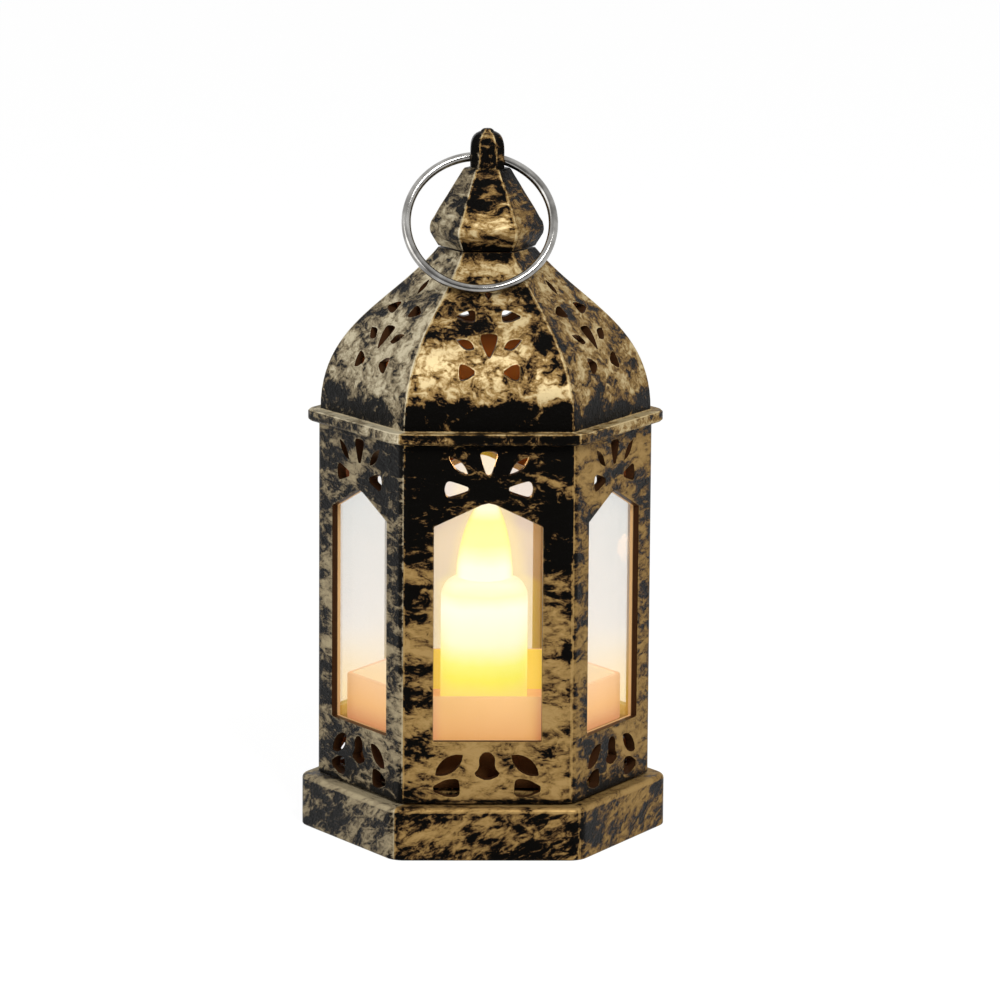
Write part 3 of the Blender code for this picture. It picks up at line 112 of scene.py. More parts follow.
# Bell, post and ring
BELL_Z = 0.10385
BELL_TOP_Z = 0.11755
BELL_ARRIS = 0.0009
BELL_BREAK = 0.0001
POST_FLATS = 0.0059
POST_HEIGHT = 0.0064
POST_ARRIS = 0.0005
POST_NUB = 0.0005
POST_ROOT = 0.0015
POST_TOP_Z = BELL_TOP_Z + POST_HEIGHT + POST_NUB
BELL_SPIGOT = 0.0026
RING_AXIS_Z = 0.11915
RING_HOLE = 0.00145
RING_RADIUS = 0.0128
RING_WIRE = 0.00082
RING_GAP = 0.0004
RING_SHIFT = -0.0014
RING_DROP = 0.000388
RING_LEAN_DEGREES = 33.24

# Candle
CUP_FLATS = 0.0424
CUP_WALL = 0.0012
CUP_CORNER = 0.0016
CUP_BREAK = 0.0001
CUP_Z = 0.0192
CUP_FLOOR_Z = 0.0202
CUP_TOP_Z = 0.0275
CUP_FOOT_EDGE = 0.0004
COLLAR_WALL = 0.0012
COLLAR_HEIGHT = 0.0015
CANDLE_RADIUS = 0.0077
CANDLE_WALL = 0.0015
CANDLE_Z = 0.0205
CANDLE_TOP_Z = 0.0447
CANDLE_LEDGE_Z = 0.038
CANDLE_LEDGE = 0.0009
CANDLE_TOP_WALL = 0.0021
CANDLE_FOOT_EDGE = 0.0003
CANDLE_SHOULDER = 0.0036
FLAME_RADIUS = 0.005
FLAME_Z = 0.045
FLAME_HEIGHT = 0.015
FLAME_LEAN = 0.0006
FLAME_SPIGOT = 0.004
FLAME_SPIGOT_Z = 0.0426
LED_BORE = 0.0028
LED_BORE_Z = 0.0495
LED_TOP_Z = 0.0466

# Screws
SCREW_RADIUS = 0.00095
SCREW_HEAD_RADIUS = 0.0019
SCREW_HEAD = 0.0008
SCREW_BREAK = 0.00003
SCREW_LENGTH = 0.004
SCREW_PITCH = 0.0004
SCREW_POINT = 0.0008
SCREW_SEAT_Z = 0.0019


# Modelling tools

def nothing_selected():
    if bpy.context.mode != "OBJECT":
        bpy.ops.object.mode_set(mode="OBJECT")
    bpy.ops.object.select_all(action="DESELECT")


def only(item):
    """Select this object alone."""
    nothing_selected()
    item.select_set(True)
    bpy.context.view_layer.objects.active = item


def work_on(item):
    """Open an object's mesh with nothing in it selected."""
    only(item)
    bpy.ops.object.mode_set(mode="EDIT")
    bpy.ops.mesh.select_mode(type="VERT")
    bpy.ops.mesh.select_all(action="DESELECT")


def whole_mesh():
    """Select all of the open mesh."""
    bpy.ops.mesh.select_all(action="SELECT")


def close():
    bpy.ops.object.mode_set(mode="OBJECT")


def added(name):
    """Name the primitive that was just added and write its place into its mesh."""
    item = bpy.context.object
    item.name = name
    item.data.name = name
    bpy.ops.object.transform_apply(location=True, rotation=True, scale=True)
    return item


def pick(kind, test):
    """Select the vertices, edges or faces of the open mesh that pass a test."""
    bpy.ops.mesh.select_mode(type=kind)
    bpy.ops.mesh.select_all(action="DESELECT")
    data = bpy.context.object.data
    mesh = bmesh.from_edit_mesh(data)
    for part in {"VERT": mesh.verts, "EDGE": mesh.edges, "FACE": mesh.faces}[kind]:
        if test(part):
            part.select_set(True)
    mesh.select_flush_mode()
    bmesh.update_edit_mesh(data)


def extrude(x=0.0, y=0.0, z=0.0):
    bpy.ops.mesh.extrude_region_move(TRANSFORM_OT_translate={"value": (x, y, z)})


def turn(angle, axis):
    """Turn the selection about an axis through the origin."""
    bpy.ops.transform.rotate(value=angle, orient_axis=axis, center_override=(0, 0, 0))


def round_off(width, segments=3):
    """Bevel the selected edges."""
    bpy.ops.mesh.bevel(offset=width, segments=segments, affect="EDGES")


def face_out():
    """Close the seams of the open mesh and turn its faces outwards."""
    whole_mesh()
    bpy.ops.mesh.remove_doubles(threshold=MERGE)
    bpy.ops.mesh.normals_make_consistent(inside=False)


def trace(name, points):
    """Start from one vertex and extrude it from point to point; the mesh stays open."""
    nothing_selected()
    bpy.ops.mesh.primitive_plane_add(size=0.001, location=points[0])
    item = added(name)
    bpy.ops.object.mode_set(mode="EDIT")
    bpy.ops.mesh.select_mode(type="VERT")
    whole_mesh()
    bpy.ops.mesh.merge(type="CENTER")
    for here, there in zip(points, points[1:]):
        extrude(*(there[i] - here[i] for i in range(3)))
    return item


def spun(name, outline, steps=6, start=0.0):
    """Spin an outline of (distance, height) points; in six steps a distance is that of a flat side."""
    grow = CORNER_TO_FLAT if steps == 6 else 1
    points = [(away * grow, 0, z) for away, z in outline]
    if start:
        points = [tuple(Matrix.Rotation(start, 4, "Z") @ Vector(point)) for point in points]
    item = trace(name, points)
    whole_mesh()
    bpy.ops.mesh.spin(steps=steps, angle=2 * math.pi, center=(0, 0, 0), axis=(0, 0, 1))
    face_out()
    return item


def modify(item, kind, **settings):
    """Add a modifier and apply it."""
    only(item)
    modifier = item.modifiers.new(kind.lower(), kind)
    for key, value in settings.items():
        setattr(modifier, key, value)
    bpy.ops.object.modifier_apply(modifier=modifier.name)


def carve(item, tool, operation="DIFFERENCE"):
    modify(item, "BOOLEAN", object=tool, operation=operation, solver="EXACT")
    bpy.data.objects.remove(tool, do_unlink=True)


def joined(items):
    """Join objects into the first and open its mesh."""
    nothing_selected()
    for item in items:
        item.select_set(True)
    bpy.context.view_layer.objects.active = items[0]
    bpy.ops.object.join()
    work_on(items[0])
    return items[0]


def shade(item, degrees):
    """Shade the piece smooth between its sharp edges."""
    only(item)
    bpy.ops.object.shade_smooth_by_angle(angle=math.radians(degrees))


def soften(item, width, degrees=35, segments=2):
    """Break every sharp edge and shade the piece smooth between them."""
    modify(item, "BEVEL", width=width, segments=segments, limit_method="ANGLE",
           angle_limit=math.radians(degrees))
    shade(item, degrees)
    modify(item, "WEIGHTED_NORMAL", keep_sharp=True)


def corner_reach(flats):
    """Distance of a hexagon's corner from the axis."""
    return flats / 2 / math.cos(HALF_SIDE)


def rounding(radius):
    """Bevel width that gives a hexagon's corner this radius."""
    return radius * math.tan(HALF_SIDE)


def apothem(point):
    """Distance of a point from the axis, measured square to the nearest flat side."""
    angle = math.atan2(point.y, point.x)
    within = (angle + math.pi) % SIDE - HALF_SIDE
    return math.hypot(point.x, point.y) * math.cos(within)


def middle(edge):
    return (edge.verts[0].co + edge.verts[1].co) / 2


def upright(edge):
    """Whether an edge runs up the piece in place of round it."""
    return abs(edge.verts[0].co.z - edge.verts[1].co.z) > MERGE


def along_corner(edge):
    """Whether an edge runs from the axis outwards or up a corner, in place of round the piece."""
    return abs(math.hypot(*edge.verts[0].co.xy) - math.hypot(*edge.verts[1].co.xy)) > MERGE or upright(edge)


def level(edge, z):
    return all(abs(vert.co.z - z) < MERGE for vert in edge.verts)


def dress(item, body, slot, finish, *nodes):
    """Give a finished piece its finish and its body, and hide the CAD nodes that it stands for. slot is not
    used.
    """
    nothing_selected()
    item.data.materials.clear()
    item.data.materials.append(finish)
    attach(item, body)
    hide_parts(*nodes)


# Outlines of the cut-outs, as (x, z) points

def placed(outline, x, z, degrees, mirrored=False):
    """Turn an outline, move it, and mirror it to the other half of the side."""
    angle = math.radians(degrees)
    points = [(x + u * math.cos(angle) - v * math.sin(angle), z + u * math.sin(angle) + v * math.cos(angle))
              for u, v in outline]
    return [(-px, pz) for px, pz in reversed(points)] if mirrored else points


def eased(outline, rounds=2):
    """Cut off an outline's corners, once or more, which leaves soft ones."""
    near, far = 0.78, 0.22
    for _ in range(rounds):
        cut = []
        for (ax, ay), (bx, by) in zip(outline, outline[1:] + outline[:1]):
            cut.append((near * ax + far * bx, near * ay + far * by))
            cut.append((far * ax + near * bx, far * ay + near * by))
        outline = cut
    return outline


def leaf(length, width, lean=0.0, blunt=1.0, steps=7):
    """Leaf along u, made of two arcs."""
    upper = []
    for step in range(1, steps):
        t = step / steps
        upper.append((length * (t - 0.5) + lean * math.sin(math.pi * t),
                      width / 2 * math.sin(math.pi * t) ** blunt))
    lower = [(u, -v) for u, v in upper]
    return [(-length / 2, 0)] + lower + [(length / 2, 0)] + upper[::-1]


def wedge(length, narrow, wide, bulge, bow=0.0):
    """Petal that starts narrow at u = 0 and widens to a bulging outer edge."""
    half = [(0, narrow / 3), (narrow / 3, narrow / 2), (length / 2, (narrow + wide) / 4 + bow),
            (length, wide / 2)]
    return [(u, -v) for u, v in half] + [(length + bulge, 0)] + half[::-1]


def window():
    """Window with a low pointed arch and a small round at its tip."""
    slope = (WINDOW_APEX_Z - WINDOW_SPRING_Z) / WINDOW_HALF_WIDTH
    soft = 0.0012
    half = [(WINDOW_HALF_WIDTH, WINDOW_SILL_Z), (WINDOW_HALF_WIDTH, WINDOW_SPRING_Z),
            (soft, WINDOW_APEX_Z - slope * soft), (soft / 2, WINDOW_APEX_Z - slope * soft * 0.75)]
    return half + [(0, WINDOW_APEX_Z - slope * soft / 2)] + [(-x, z) for x, z in reversed(half)]


def body_openings():
    """Every cut-out of one body side: window, spade and petal in the middle, and four mirrored pairs."""
    spade = [(0.0024, 0.0011), (0.0013, 0.0024), (0.0014, 0.0041), (0.0006, 0.0051)]
    spade = [(0, 0)] + spade + [(-x, z) for x, z in reversed(spade)]
    petal = wedge(0.0041, 0.0011, 0.0033, 0.0002)
    side_petal = wedge(0.0037, 0.0011, 0.0032, 0.0005)
    fan_leaf = leaf(0.0047, 0.0015)
    low_leaf = leaf(0.006, 0.0027, blunt=0.7)
    corner_drop = wedge(0.0044, 0.0014, 0.0032, 0.0002, 0.0004)
    shapes = [window(), eased(placed(spade, 0, BODY_FOOT_Z + 0.004, 0), 1),
              eased(placed(petal, 0, FAN_Z + 0.0021, 90))]
    for mirrored in (False, True):
        shapes.append(eased(placed(side_petal, 0.0035, FAN_Z - 0.0003, 0, mirrored)))
        shapes.append(placed(fan_leaf, 0.0052, FAN_Z + 0.0038, 44, mirrored))
        shapes.append(placed(low_leaf, 0.0066, BODY_FOOT_Z + 0.0068, -37, mirrored))
        shapes.append(eased(placed(corner_drop, 0.0093, BODY_FOOT_Z + 0.0026, 177, mirrored)))
    return shapes


def dome_openings():
    """Every cut-out of one dome side: a fan, a pair over it and a drop on top."""
    petal = wedge(0.0037, 0.0006, 0.0033, 0.0002, 0.0002)
    low_petal = wedge(0.0026, 0.0011, 0.0029, 0.0002, 0.0002)
    fan_leaf = leaf(0.0035, 0.0016, -0.0003)
    upper_drop = wedge(0.0031, 0.0005, 0.002, 0.0002, 0.0002)
    top_drop = leaf(0.0026, 0.0015)
    shapes = [eased(placed(petal, 0, DOME_FOOT_Z + 0.0124, 90)),
              placed(top_drop, 0, DOME_FOOT_Z + 0.0226, 90)]
    for mirrored in (False, True):
        shapes.append(eased(placed(low_petal, 0.0025, DOME_FOOT_Z + 0.0101, 0, mirrored)))
        shapes.append(placed(fan_leaf, 0.0041, DOME_FOOT_Z + 0.0146, 25, mirrored))
        shapes.append(eased(placed(upper_drop, 0.0055, DOME_FOOT_Z + 0.0188, 178, mirrored)))
    return shapes


def piercing_tool(name, outlines, near, far):
    """One solid that cuts the same openings through all six sides."""
    plates = []
    for outline in outlines:
        plate = trace(name, [(x, near, z) for x, z in outline])
        whole_mesh()
        bpy.ops.mesh.edge_face_add()
        extrude(y=far - near)
        close()
        plates.append(plate)
    tool = joined(plates)
    whole_mesh()
    for _ in range(5):
        bpy.ops.mesh.duplicate()
        turn(SIDE, "Z")
    whole_mesh()
    bpy.ops.mesh.normals_make_consistent(inside=False)
    close()
    return tool


def six_sided(name, flats, foot_z, top_z, **settings):
    """Upright six-sided primitive with one flat side facing -Y."""
    nothing_selected()
    bpy.ops.mesh.primitive_cylinder_add(vertices=6, radius=corner_reach(flats), depth=top_z - foot_z,
                                        location=(0, 0, (top_z + foot_z) / 2), rotation=(0, 0, HALF_SIDE),
                                        **settings)
    return added(name)


def round_tool(radius, start, end, vertices=32):
    """Round rod between two points, to join on or cut away."""
    start = Vector(start)
    end = Vector(end)
    nothing_selected()
    bpy.ops.mesh.primitive_cylinder_add(vertices=vertices, radius=radius, depth=(end - start).length,
                                        location=(start + end) / 2,
                                        rotation=(end - start).to_track_quat("Z", "Y").to_euler())
    return added("tool")


# Pieces

def base_screw_places():
    return [(BOSS_CIRCLE * math.cos(angle), BOSS_CIRCLE * math.sin(angle))
            for angle in (math.radians(90), math.radians(210), math.radians(330))]


def model_base():
    """Plinth with rim, housing and the room below: outside and inside spun in six steps, corners rounded."""
    outer = BASE_FLATS / 2
    outline = [(outer - BASE_FOOT_EDGE, 0), (outer, BASE_FOOT_EDGE)]
    for step in range(6):
        angle = math.radians(18 * step)
        outline.append((outer - BASE_EDGE * (1 - math.cos(angle)),
                        BASE_HEIGHT - BASE_EDGE * (1 - math.sin(angle))))
    rib_top = BASE_HEIGHT + RIB_HEIGHT
    housing_wall = HOUSING_FLATS / 2 - HOUSING_WALL
    ceiling_z = HOUSING_TOP_Z - HOUSING_WALL
    outline += [(RIB_FLATS / 2, BASE_HEIGHT), (RIB_FLATS / 2, rib_top), (RIB_FLATS / 2 - RIB_WALL, rib_top),
                (RIB_FLATS / 2 - RIB_WALL, BASE_HEIGHT), (HOUSING_FLATS / 2, BASE_HEIGHT),
                (HOUSING_FLATS / 2, HOUSING_TOP_Z), (0, HOUSING_TOP_Z)]
    room = [(0, ceiling_z), (housing_wall, ceiling_z), (housing_wall, BASE_DECK_Z),
            (outer - BASE_WALL, BASE_DECK_Z), (outer - BASE_WALL, 0), (outer - BASE_FOOT_EDGE, 0)]
    item = joined([spun("lantern_base", outline), spun("base_room", room)])
    face_out()
    outside = corner_reach(RIB_FLATS) + 0.0002
    pick("EDGE", lambda edge: along_corner(edge) and math.hypot(*middle(edge).xy) > outside)
    round_off(rounding(BASE_CORNER), 7)
    pick("EDGE", lambda edge: along_corner(edge) and upright(edge)
         and abs(apothem(middle(edge)) - HOUSING_FLATS / 2) < 0.0003)
    round_off(rounding(HOUSING_CORNER), 4)
    face_out()
    close()
    for x, y in base_screw_places():
        carve(item, round_tool(BOSS_RADIUS, (x, y, BOSS_FOOT_Z), (x, y, BASE_DECK_Z + BOSS_ROOT)), "UNION")
        carve(item, round_tool(BASE_SCREW_HOLE, (x, y, -CUT_OVERRUN), (x, y, BASE_SCREW_DEPTH)))
    carve(item, round_tool(WIRE_HOLE, (0, 0, ceiling_z - CUT_OVERRUN), (0, 0, HOUSING_TOP_Z + CUT_OVERRUN)))
    soften(item, BASE_BREAK)
    return item


def model_body():
    """Six-sided tube with its wall, pierced and with every edge broken."""
    item = six_sided("lantern_body", BODY_FLATS, BODY_FOOT_Z, BODY_TOP_Z, end_fill_type="NOTHING")
    work_on(item)
    pick("EDGE", upright)
    round_off(rounding(BODY_CORNER), 6)
    face_out()
    close()
    modify(item, "SOLIDIFY", thickness=BODY_WALL, offset=-1, use_even_offset=True)
    tool = piercing_tool("body_tool", body_openings(), -BODY_FLATS / 2 - CUT_OVERRUN,
                         -BODY_FLATS / 2 + BODY_WALL + CUT_OVERRUN)
    carve(item, tool)
    soften(item, BODY_BREAK, 30)
    return item


def dome_curve():
    """Ogee of the dome as (distance from the axis to a flat side, height)."""
    foot = Vector((DOME_FOOT_FLATS / 2, DOME_FOOT_Z))
    neck = Vector((DOME_NECK_FLATS / 2, DOME_NECK_Z))
    foot_handle = foot + Vector((0, DOME_FOOT_PULL))
    neck_handle = neck + Vector(DOME_NECK_PULL)
    points = interpolate_bezier(foot, foot_handle, neck_handle, neck, DOME_STEPS)
    return [Vector(point[:2]) for point in points]


def inner_curve(outer):
    """The dome's curve moved in by its wall."""
    inner = []
    for i, point in enumerate(outer):
        along = (outer[min(i + 1, len(outer) - 1)] - outer[max(i - 1, 0)]).normalized()
        inner.append(point + DOME_WALL * Vector((-along.y, along.x)))
    return inner


def dome_away(z):
    """Distance of the dome's flat side from the axis at a height."""
    curve = dome_curve()
    for low, high in zip(curve, curve[1:]):
        if low.y <= z <= high.y:
            return low.x + (high.x - low.x) * (z - low.y) / (high.y - low.y)
    return curve[0].x if z < curve[0].y else curve[-1].x


def model_dome():
    """Eave and dome: one closed outline spun in six steps, arrises rounded, then pierced."""
    outer = dome_curve()
    inner = inner_curve(outer)
    ceiling_z = DOME_NECK_Z - DOME_WALL
    hole = SPIGOT_FLATS / 2 + SEAT
    skirt = BODY_FLATS / 2 - BODY_WALL - SEAT
    outline = [(skirt - DOME_WALL, EAVE_Z - SKIRT_DEPTH), (skirt, EAVE_Z - SKIRT_DEPTH), (skirt, EAVE_Z),
               (EAVE_FLATS / 2 - EAVE_EDGE, EAVE_Z), (EAVE_FLATS / 2, EAVE_Z + EAVE_EDGE),
               (EAVE_FLATS / 2, DOME_FOOT_Z - EAVE_EDGE), (EAVE_FLATS / 2 - EAVE_EDGE, DOME_FOOT_Z)]
    outline += [tuple(point) for point in outer]
    outline += [(hole, DOME_NECK_Z), (hole, ceiling_z)]
    outline += [tuple(point) for point in reversed(inner[1:]) if point.y < ceiling_z - DOME_WALL / 4]
    outline += [(inner[0].x, DOME_FOOT_Z), (inner[0].x, EAVE_Z)]
    outline.append(outline[0])
    item = spun("lantern_dome", outline)
    skin = {(round(point.x * CORNER_TO_FLAT, 5), round(point.y, 5)) for point in outer}

    def on_arris(edge):
        ends = [(round(math.hypot(*vert.co.xy), 5), round(vert.co.z, 5)) for vert in edge.verts]
        return upright(edge) and all(end in skin for end in ends)

    pick("EDGE", on_arris)
    round_off(rounding(DOME_ARRIS))
    eave_reach = corner_reach(EAVE_FLATS) - 0.0005
    pick("EDGE", lambda edge: upright(edge) and math.hypot(*middle(edge).xy) > eave_reach)
    round_off(rounding(EAVE_CORNER), 6)
    face_out()
    close()
    for outline in dome_openings():
        low = min(z for _, z in outline)
        high = max(z for _, z in outline)
        near = -dome_away(low) - CUT_OVERRUN
        far = -dome_away(high) + 3 * DOME_WALL
        carve(item, piercing_tool("dome_tool", [outline], near, far))
    soften(item, DOME_BREAK)
    return item


def model_bell():
    """Bell and post, each spun in six steps, joined, with the ring's hole drilled through."""
    spigot = SPIGOT_FLATS / 2
    skirt = ((0.0075, 0), (0.0078, 0.0006), (0.0082, 0.0013), (0.0087, 0.0023), (0.0088, 0.0029),
             (0.00877, 0.0035), (0.00862, 0.0042), (0.00812, 0.0051), (0.0073, 0.0068), (0.0062, 0.0088),
             (0.005, 0.0111), (0.0043, 0.0124), (0.00395, 0.0131), (0.0034, 0.0137), (0, 0.0137))
    bell = [(0, BELL_Z - BELL_SPIGOT), (spigot, BELL_Z - BELL_SPIGOT), (spigot, BELL_Z)]
    bell += [(away, BELL_Z + rise) for away, rise in skirt]
    item = spun("lantern_bell", bell)
    pick("EDGE", lambda edge: upright(edge) and math.hypot(*middle(edge).xy) > 0.0043)
    round_off(rounding(BELL_ARRIS))
    face_out()
    close()
    cap_z = BELL_TOP_Z + POST_HEIGHT
    half = POST_FLATS / 2
    cap = ((0.5, 1.0), (0.4, 0.99), (0.32, 0.97), (0.25, 0.93), (0.18, 0.87), (0.12, 0.79), (0.07, 0.68),
           (0.03, 0.54), (0, 0.4))
    post = [(0, BELL_TOP_Z - POST_ROOT), (half, BELL_TOP_Z - POST_ROOT)]
    post += [(half * share, cap_z - POST_HEIGHT * drop) for drop, share in cap]
    post += [(half * 0.34, cap_z + POST_NUB * 0.5), (half * 0.2, cap_z + POST_NUB), (0, cap_z + POST_NUB)]
    finial = spun("lantern_post", post, start=HALF_SIDE)
    pick("EDGE", lambda edge: upright(edge) and math.hypot(*middle(edge).xy) > 0.0012)
    round_off(rounding(POST_ARRIS))
    face_out()
    close()
    carve(item, finial, "UNION")
    carve(item, round_tool(RING_HOLE, (-POST_FLATS, 0, RING_AXIS_Z), (POST_FLATS, 0, RING_AXIS_Z)))
    soften(item, BELL_BREAK, 28)
    return item


def model_ring():
    """Wire bent round into a ring, its two cut ends almost meeting in the post's hole."""
    nothing_selected()
    bpy.ops.mesh.primitive_circle_add(vertices=20, radius=RING_WIRE, fill_type="NGON",
                                      location=(0, 0, RING_RADIUS), rotation=(0, math.radians(90), 0))
    item = added("ring_of_wire")
    work_on(item)
    whole_mesh()
    gap = RING_GAP / RING_RADIUS
    turn(-gap / 2, "Y")
    bpy.ops.mesh.spin(steps=120, angle=2 * math.pi - gap, center=(0, 0, 0), axis=(0, 1, 0))
    face_out()
    bpy.ops.transform.translate(value=(RING_SHIFT, 0, RING_DROP - RING_RADIUS))
    turn(math.radians(RING_LEAN_DEGREES), "X")
    bpy.ops.transform.translate(value=(0, 0, RING_AXIS_Z))
    close()
    shade(item, 50)
    return item


def model_cup():
    """Milky cup: a six-sided tray with a rounded rim and a collar for the candle."""
    item = six_sided("milky_cup", CUP_FLATS, CUP_Z, CUP_TOP_Z)
    work_on(item)
    pick("EDGE", upright)
    round_off(rounding(CUP_CORNER), 5)
    pick("FACE", lambda face: face.normal.z > 0.9)
    bpy.ops.mesh.inset(thickness=CUP_WALL)
    extrude(z=CUP_FLOOR_Z - CUP_TOP_Z)
    pick("EDGE", lambda edge: level(edge, CUP_TOP_Z))
    round_off(CUP_WALL * 0.3)
    pick("EDGE", lambda edge: level(edge, CUP_Z))
    round_off(CUP_FOOT_EDGE)
    face_out()
    close()
    collar = CANDLE_RADIUS - CANDLE_WALL - SEAT
    top_z = CUP_FLOOR_Z + COLLAR_HEIGHT
    carve(item, round_tool(collar, (0, 0, CUP_FLOOR_Z - 0.0005), (0, 0, top_z), 48), "UNION")
    carve(item, round_tool(collar - COLLAR_WALL, (0, 0, CUP_FLOOR_Z), (0, 0, top_z + CUT_OVERRUN), 48))
    carve(item, round_tool(WIRE_HOLE, (0, 0, CUP_Z - CUT_OVERRUN), (0, 0, CUP_FLOOR_Z + CUT_OVERRUN)))
    soften(item, CUP_BREAK, 40)
    return item


def model_candle():
    """Hollow candle with a soft shoulder."""
    bore = CANDLE_RADIUS - CANDLE_WALL
    top_hole = FLAME_SPIGOT + SEAT
    ceiling_z = CANDLE_TOP_Z - CANDLE_TOP_WALL
    outline = [(bore, CANDLE_Z), (CANDLE_RADIUS - CANDLE_FOOT_EDGE, CANDLE_Z),
               (CANDLE_RADIUS, CANDLE_Z + CANDLE_FOOT_EDGE)]
    for step in range(11):
        angle = math.radians(9 * step)
        outline.append((FLAME_RADIUS + (CANDLE_RADIUS - FLAME_RADIUS) * math.cos(angle),
                        CANDLE_TOP_Z - CANDLE_SHOULDER * (1 - math.sin(angle))))
    ledge = bore - CANDLE_LEDGE
    outline += [(top_hole, CANDLE_TOP_Z), (top_hole, ceiling_z), (ledge, ceiling_z), (ledge, CANDLE_LEDGE_Z),
                (bore, CANDLE_LEDGE_Z), (bore, CANDLE_Z)]
    item = spun("glowing_candle", outline, 64)
    close()
    shade(item, 35)
    return item


def model_flame():
    """Flame lens: a spun drop with its bore, leaning a little at the tip."""
    outline = [(0, LED_BORE_Z + LED_BORE), (LED_BORE * 0.6, LED_BORE_Z + LED_BORE * 0.8),
               (LED_BORE * 0.92, LED_BORE_Z + LED_BORE * 0.4), (LED_BORE, LED_BORE_Z),
               (LED_BORE, FLAME_SPIGOT_Z), (FLAME_SPIGOT, FLAME_SPIGOT_Z), (FLAME_SPIGOT, FLAME_Z),
               (FLAME_RADIUS, FLAME_Z)]
    shape = ((0.07, 0.995), (0.14, 0.98), (0.24, 0.945), (0.34, 0.9), (0.44, 0.835), (0.54, 0.76),
             (0.62, 0.68), (0.7, 0.59), (0.77, 0.495), (0.84, 0.39), (0.9, 0.285), (0.94, 0.21),
             (0.975, 0.13), (0.993, 0.06), (1, 0.0))
    outline += [(FLAME_RADIUS * width, FLAME_Z + FLAME_HEIGHT * share) for share, width in shape]
    item = spun("flame_lens", outline, 48)
    for share, _ in shape:
        z = FLAME_Z + FLAME_HEIGHT * share
        pick("VERT", lambda vert: abs(vert.co.z - z) < MERGE)
        bpy.ops.transform.translate(value=(FLAME_LEAN * share ** 2, 0, 0))
    close()
    shade(item, 35)
    return item


def model_screw():
    """Pan head with a cross recess, head down, on a threaded shank that starts at z = 0."""
    outline = [(0, -SCREW_HEAD), (SCREW_HEAD_RADIUS * 0.45, -SCREW_HEAD),
               (SCREW_HEAD_RADIUS * 0.74, -SCREW_HEAD * 0.92),
               (SCREW_HEAD_RADIUS * 0.92, -SCREW_HEAD * 0.7), (SCREW_HEAD_RADIUS, -SCREW_HEAD * 0.4),
               (SCREW_HEAD_RADIUS, 0), (SCREW_RADIUS, 0)]
    thread_z = 0
    while thread_z < SCREW_LENGTH - SCREW_POINT - 1.5 * SCREW_PITCH:
        outline.append((SCREW_RADIUS * 0.78, thread_z + SCREW_PITCH / 2))
        thread_z += SCREW_PITCH
        outline.append((SCREW_RADIUS, thread_z))
    outline += [(SCREW_RADIUS * 0.7, SCREW_LENGTH - SCREW_POINT), (0, SCREW_LENGTH)]
    item = spun("screw", outline, 24)
    close()
    slot_length, slot_width, slot_depth = 0.0022, 0.00045, 0.0007
    for angle in (0, math.radians(90)):
        nothing_selected()
        bpy.ops.mesh.primitive_cube_add(size=1, location=(0, 0, -SCREW_HEAD), rotation=(0, 0, angle),
                                        scale=(slot_length, slot_width, slot_depth))
        carve(item, added("driver"))
    soften(item, SCREW_BREAK, 40, 1)
    return item


def copied(item, name, place):
    """Copy a finished piece, mesh and all, to a place."""
    only(item)
    bpy.ops.object.duplicate(linked=False)
    bpy.ops.transform.translate(value=place)
    return added(name)


# Finishes

class Nodes:
    """A tree of shader nodes while they are being joined up."""

    def __init__(self, tree):
        self.tree = tree

    def node(self, kind, inputs=None, **settings):
        made = self.tree.nodes.new("ShaderNode" + kind)
        for key, value in settings.items():
            setattr(made, key, value)
        for key, value in (inputs or {}).items():
            if isinstance(value, bpy.types.NodeSocket):
                self.tree.links.new(value, made.inputs[key])
            else:
                made.inputs[key].default_value = value
        return made

    def calc(self, operation, a, b=0.0, c=0.0):
        return self.node("Math", {0: a, 1: b, 2: c}, operation=operation).outputs[0]

    def span(self, value, start, end, low=0.0, high=1.0, **settings):
        """Low to high while a value goes from start to end."""
        return self.node("MapRange", {0: value, 1: start, 2: end, 3: low, 4: high}, **settings).outputs[0]

    def between(self, amount, first, second):
        return self.node("Mix", {0: amount, 2: first, 3: second}).outputs[0]

    def blend(self, amount, first, second):
        """Colour between two colours, each of them a tuple or the output of a node."""
        colours = [(*part, 1) if isinstance(part, tuple) else part for part in (first, second)]
        return self.node("Mix", {0: amount, 6: colours[0], 7: colours[1]}, data_type="RGBA").outputs[2]


class Finish(Nodes):
    """One material."""

    def __init__(self, name, **sockets):
        self.made = bpy.data.materials.new(name)
        self.made.use_nodes = True
        super().__init__(self.made.node_tree)
        self.shader = self.tree.nodes["Principled BSDF"]
        self.place = self.node("TexCoord").outputs["Object"]
        for key, value in sockets.items():
            self.shader.inputs[key.replace("_", " ")].default_value = value

    def noise(self, place, scale, detail, roughness=0.5, distortion=0.0):
        settings = {"Vector": place, "Scale": scale, "Detail": detail, "Roughness": roughness,
                    "Distortion": distortion}
        return self.node("TexNoise", settings).outputs["Fac"]

    def ramp(self, value, stops):
        """Colours or greys that follow a value."""
        made = self.node("ValToRGB", {"Fac": value})
        elements = made.color_ramp.elements
        while len(elements) < len(stops):
            elements.new(0.5)
        for element, (at, colour) in zip(elements, stops):
            element.position = at
            element.color = (*colour, 1) if isinstance(colour, tuple) else (colour, colour, colour, 1)
        return made.outputs["Color"]

    def height(self, low, high):
        """0 to 1 from a low to a high z."""
        return self.span(self.node("SeparateXYZ", {0: self.place}).outputs["Z"], low, high)

    def join(self, value, socket):
        self.tree.links.new(value, self.shader.inputs[socket])

    def bump(self, value, depth, strength):
        bump = self.node("Bump", {"Height": value, "Distance": depth, "Strength": strength})
        self.join(bump.outputs[0], "Normal")


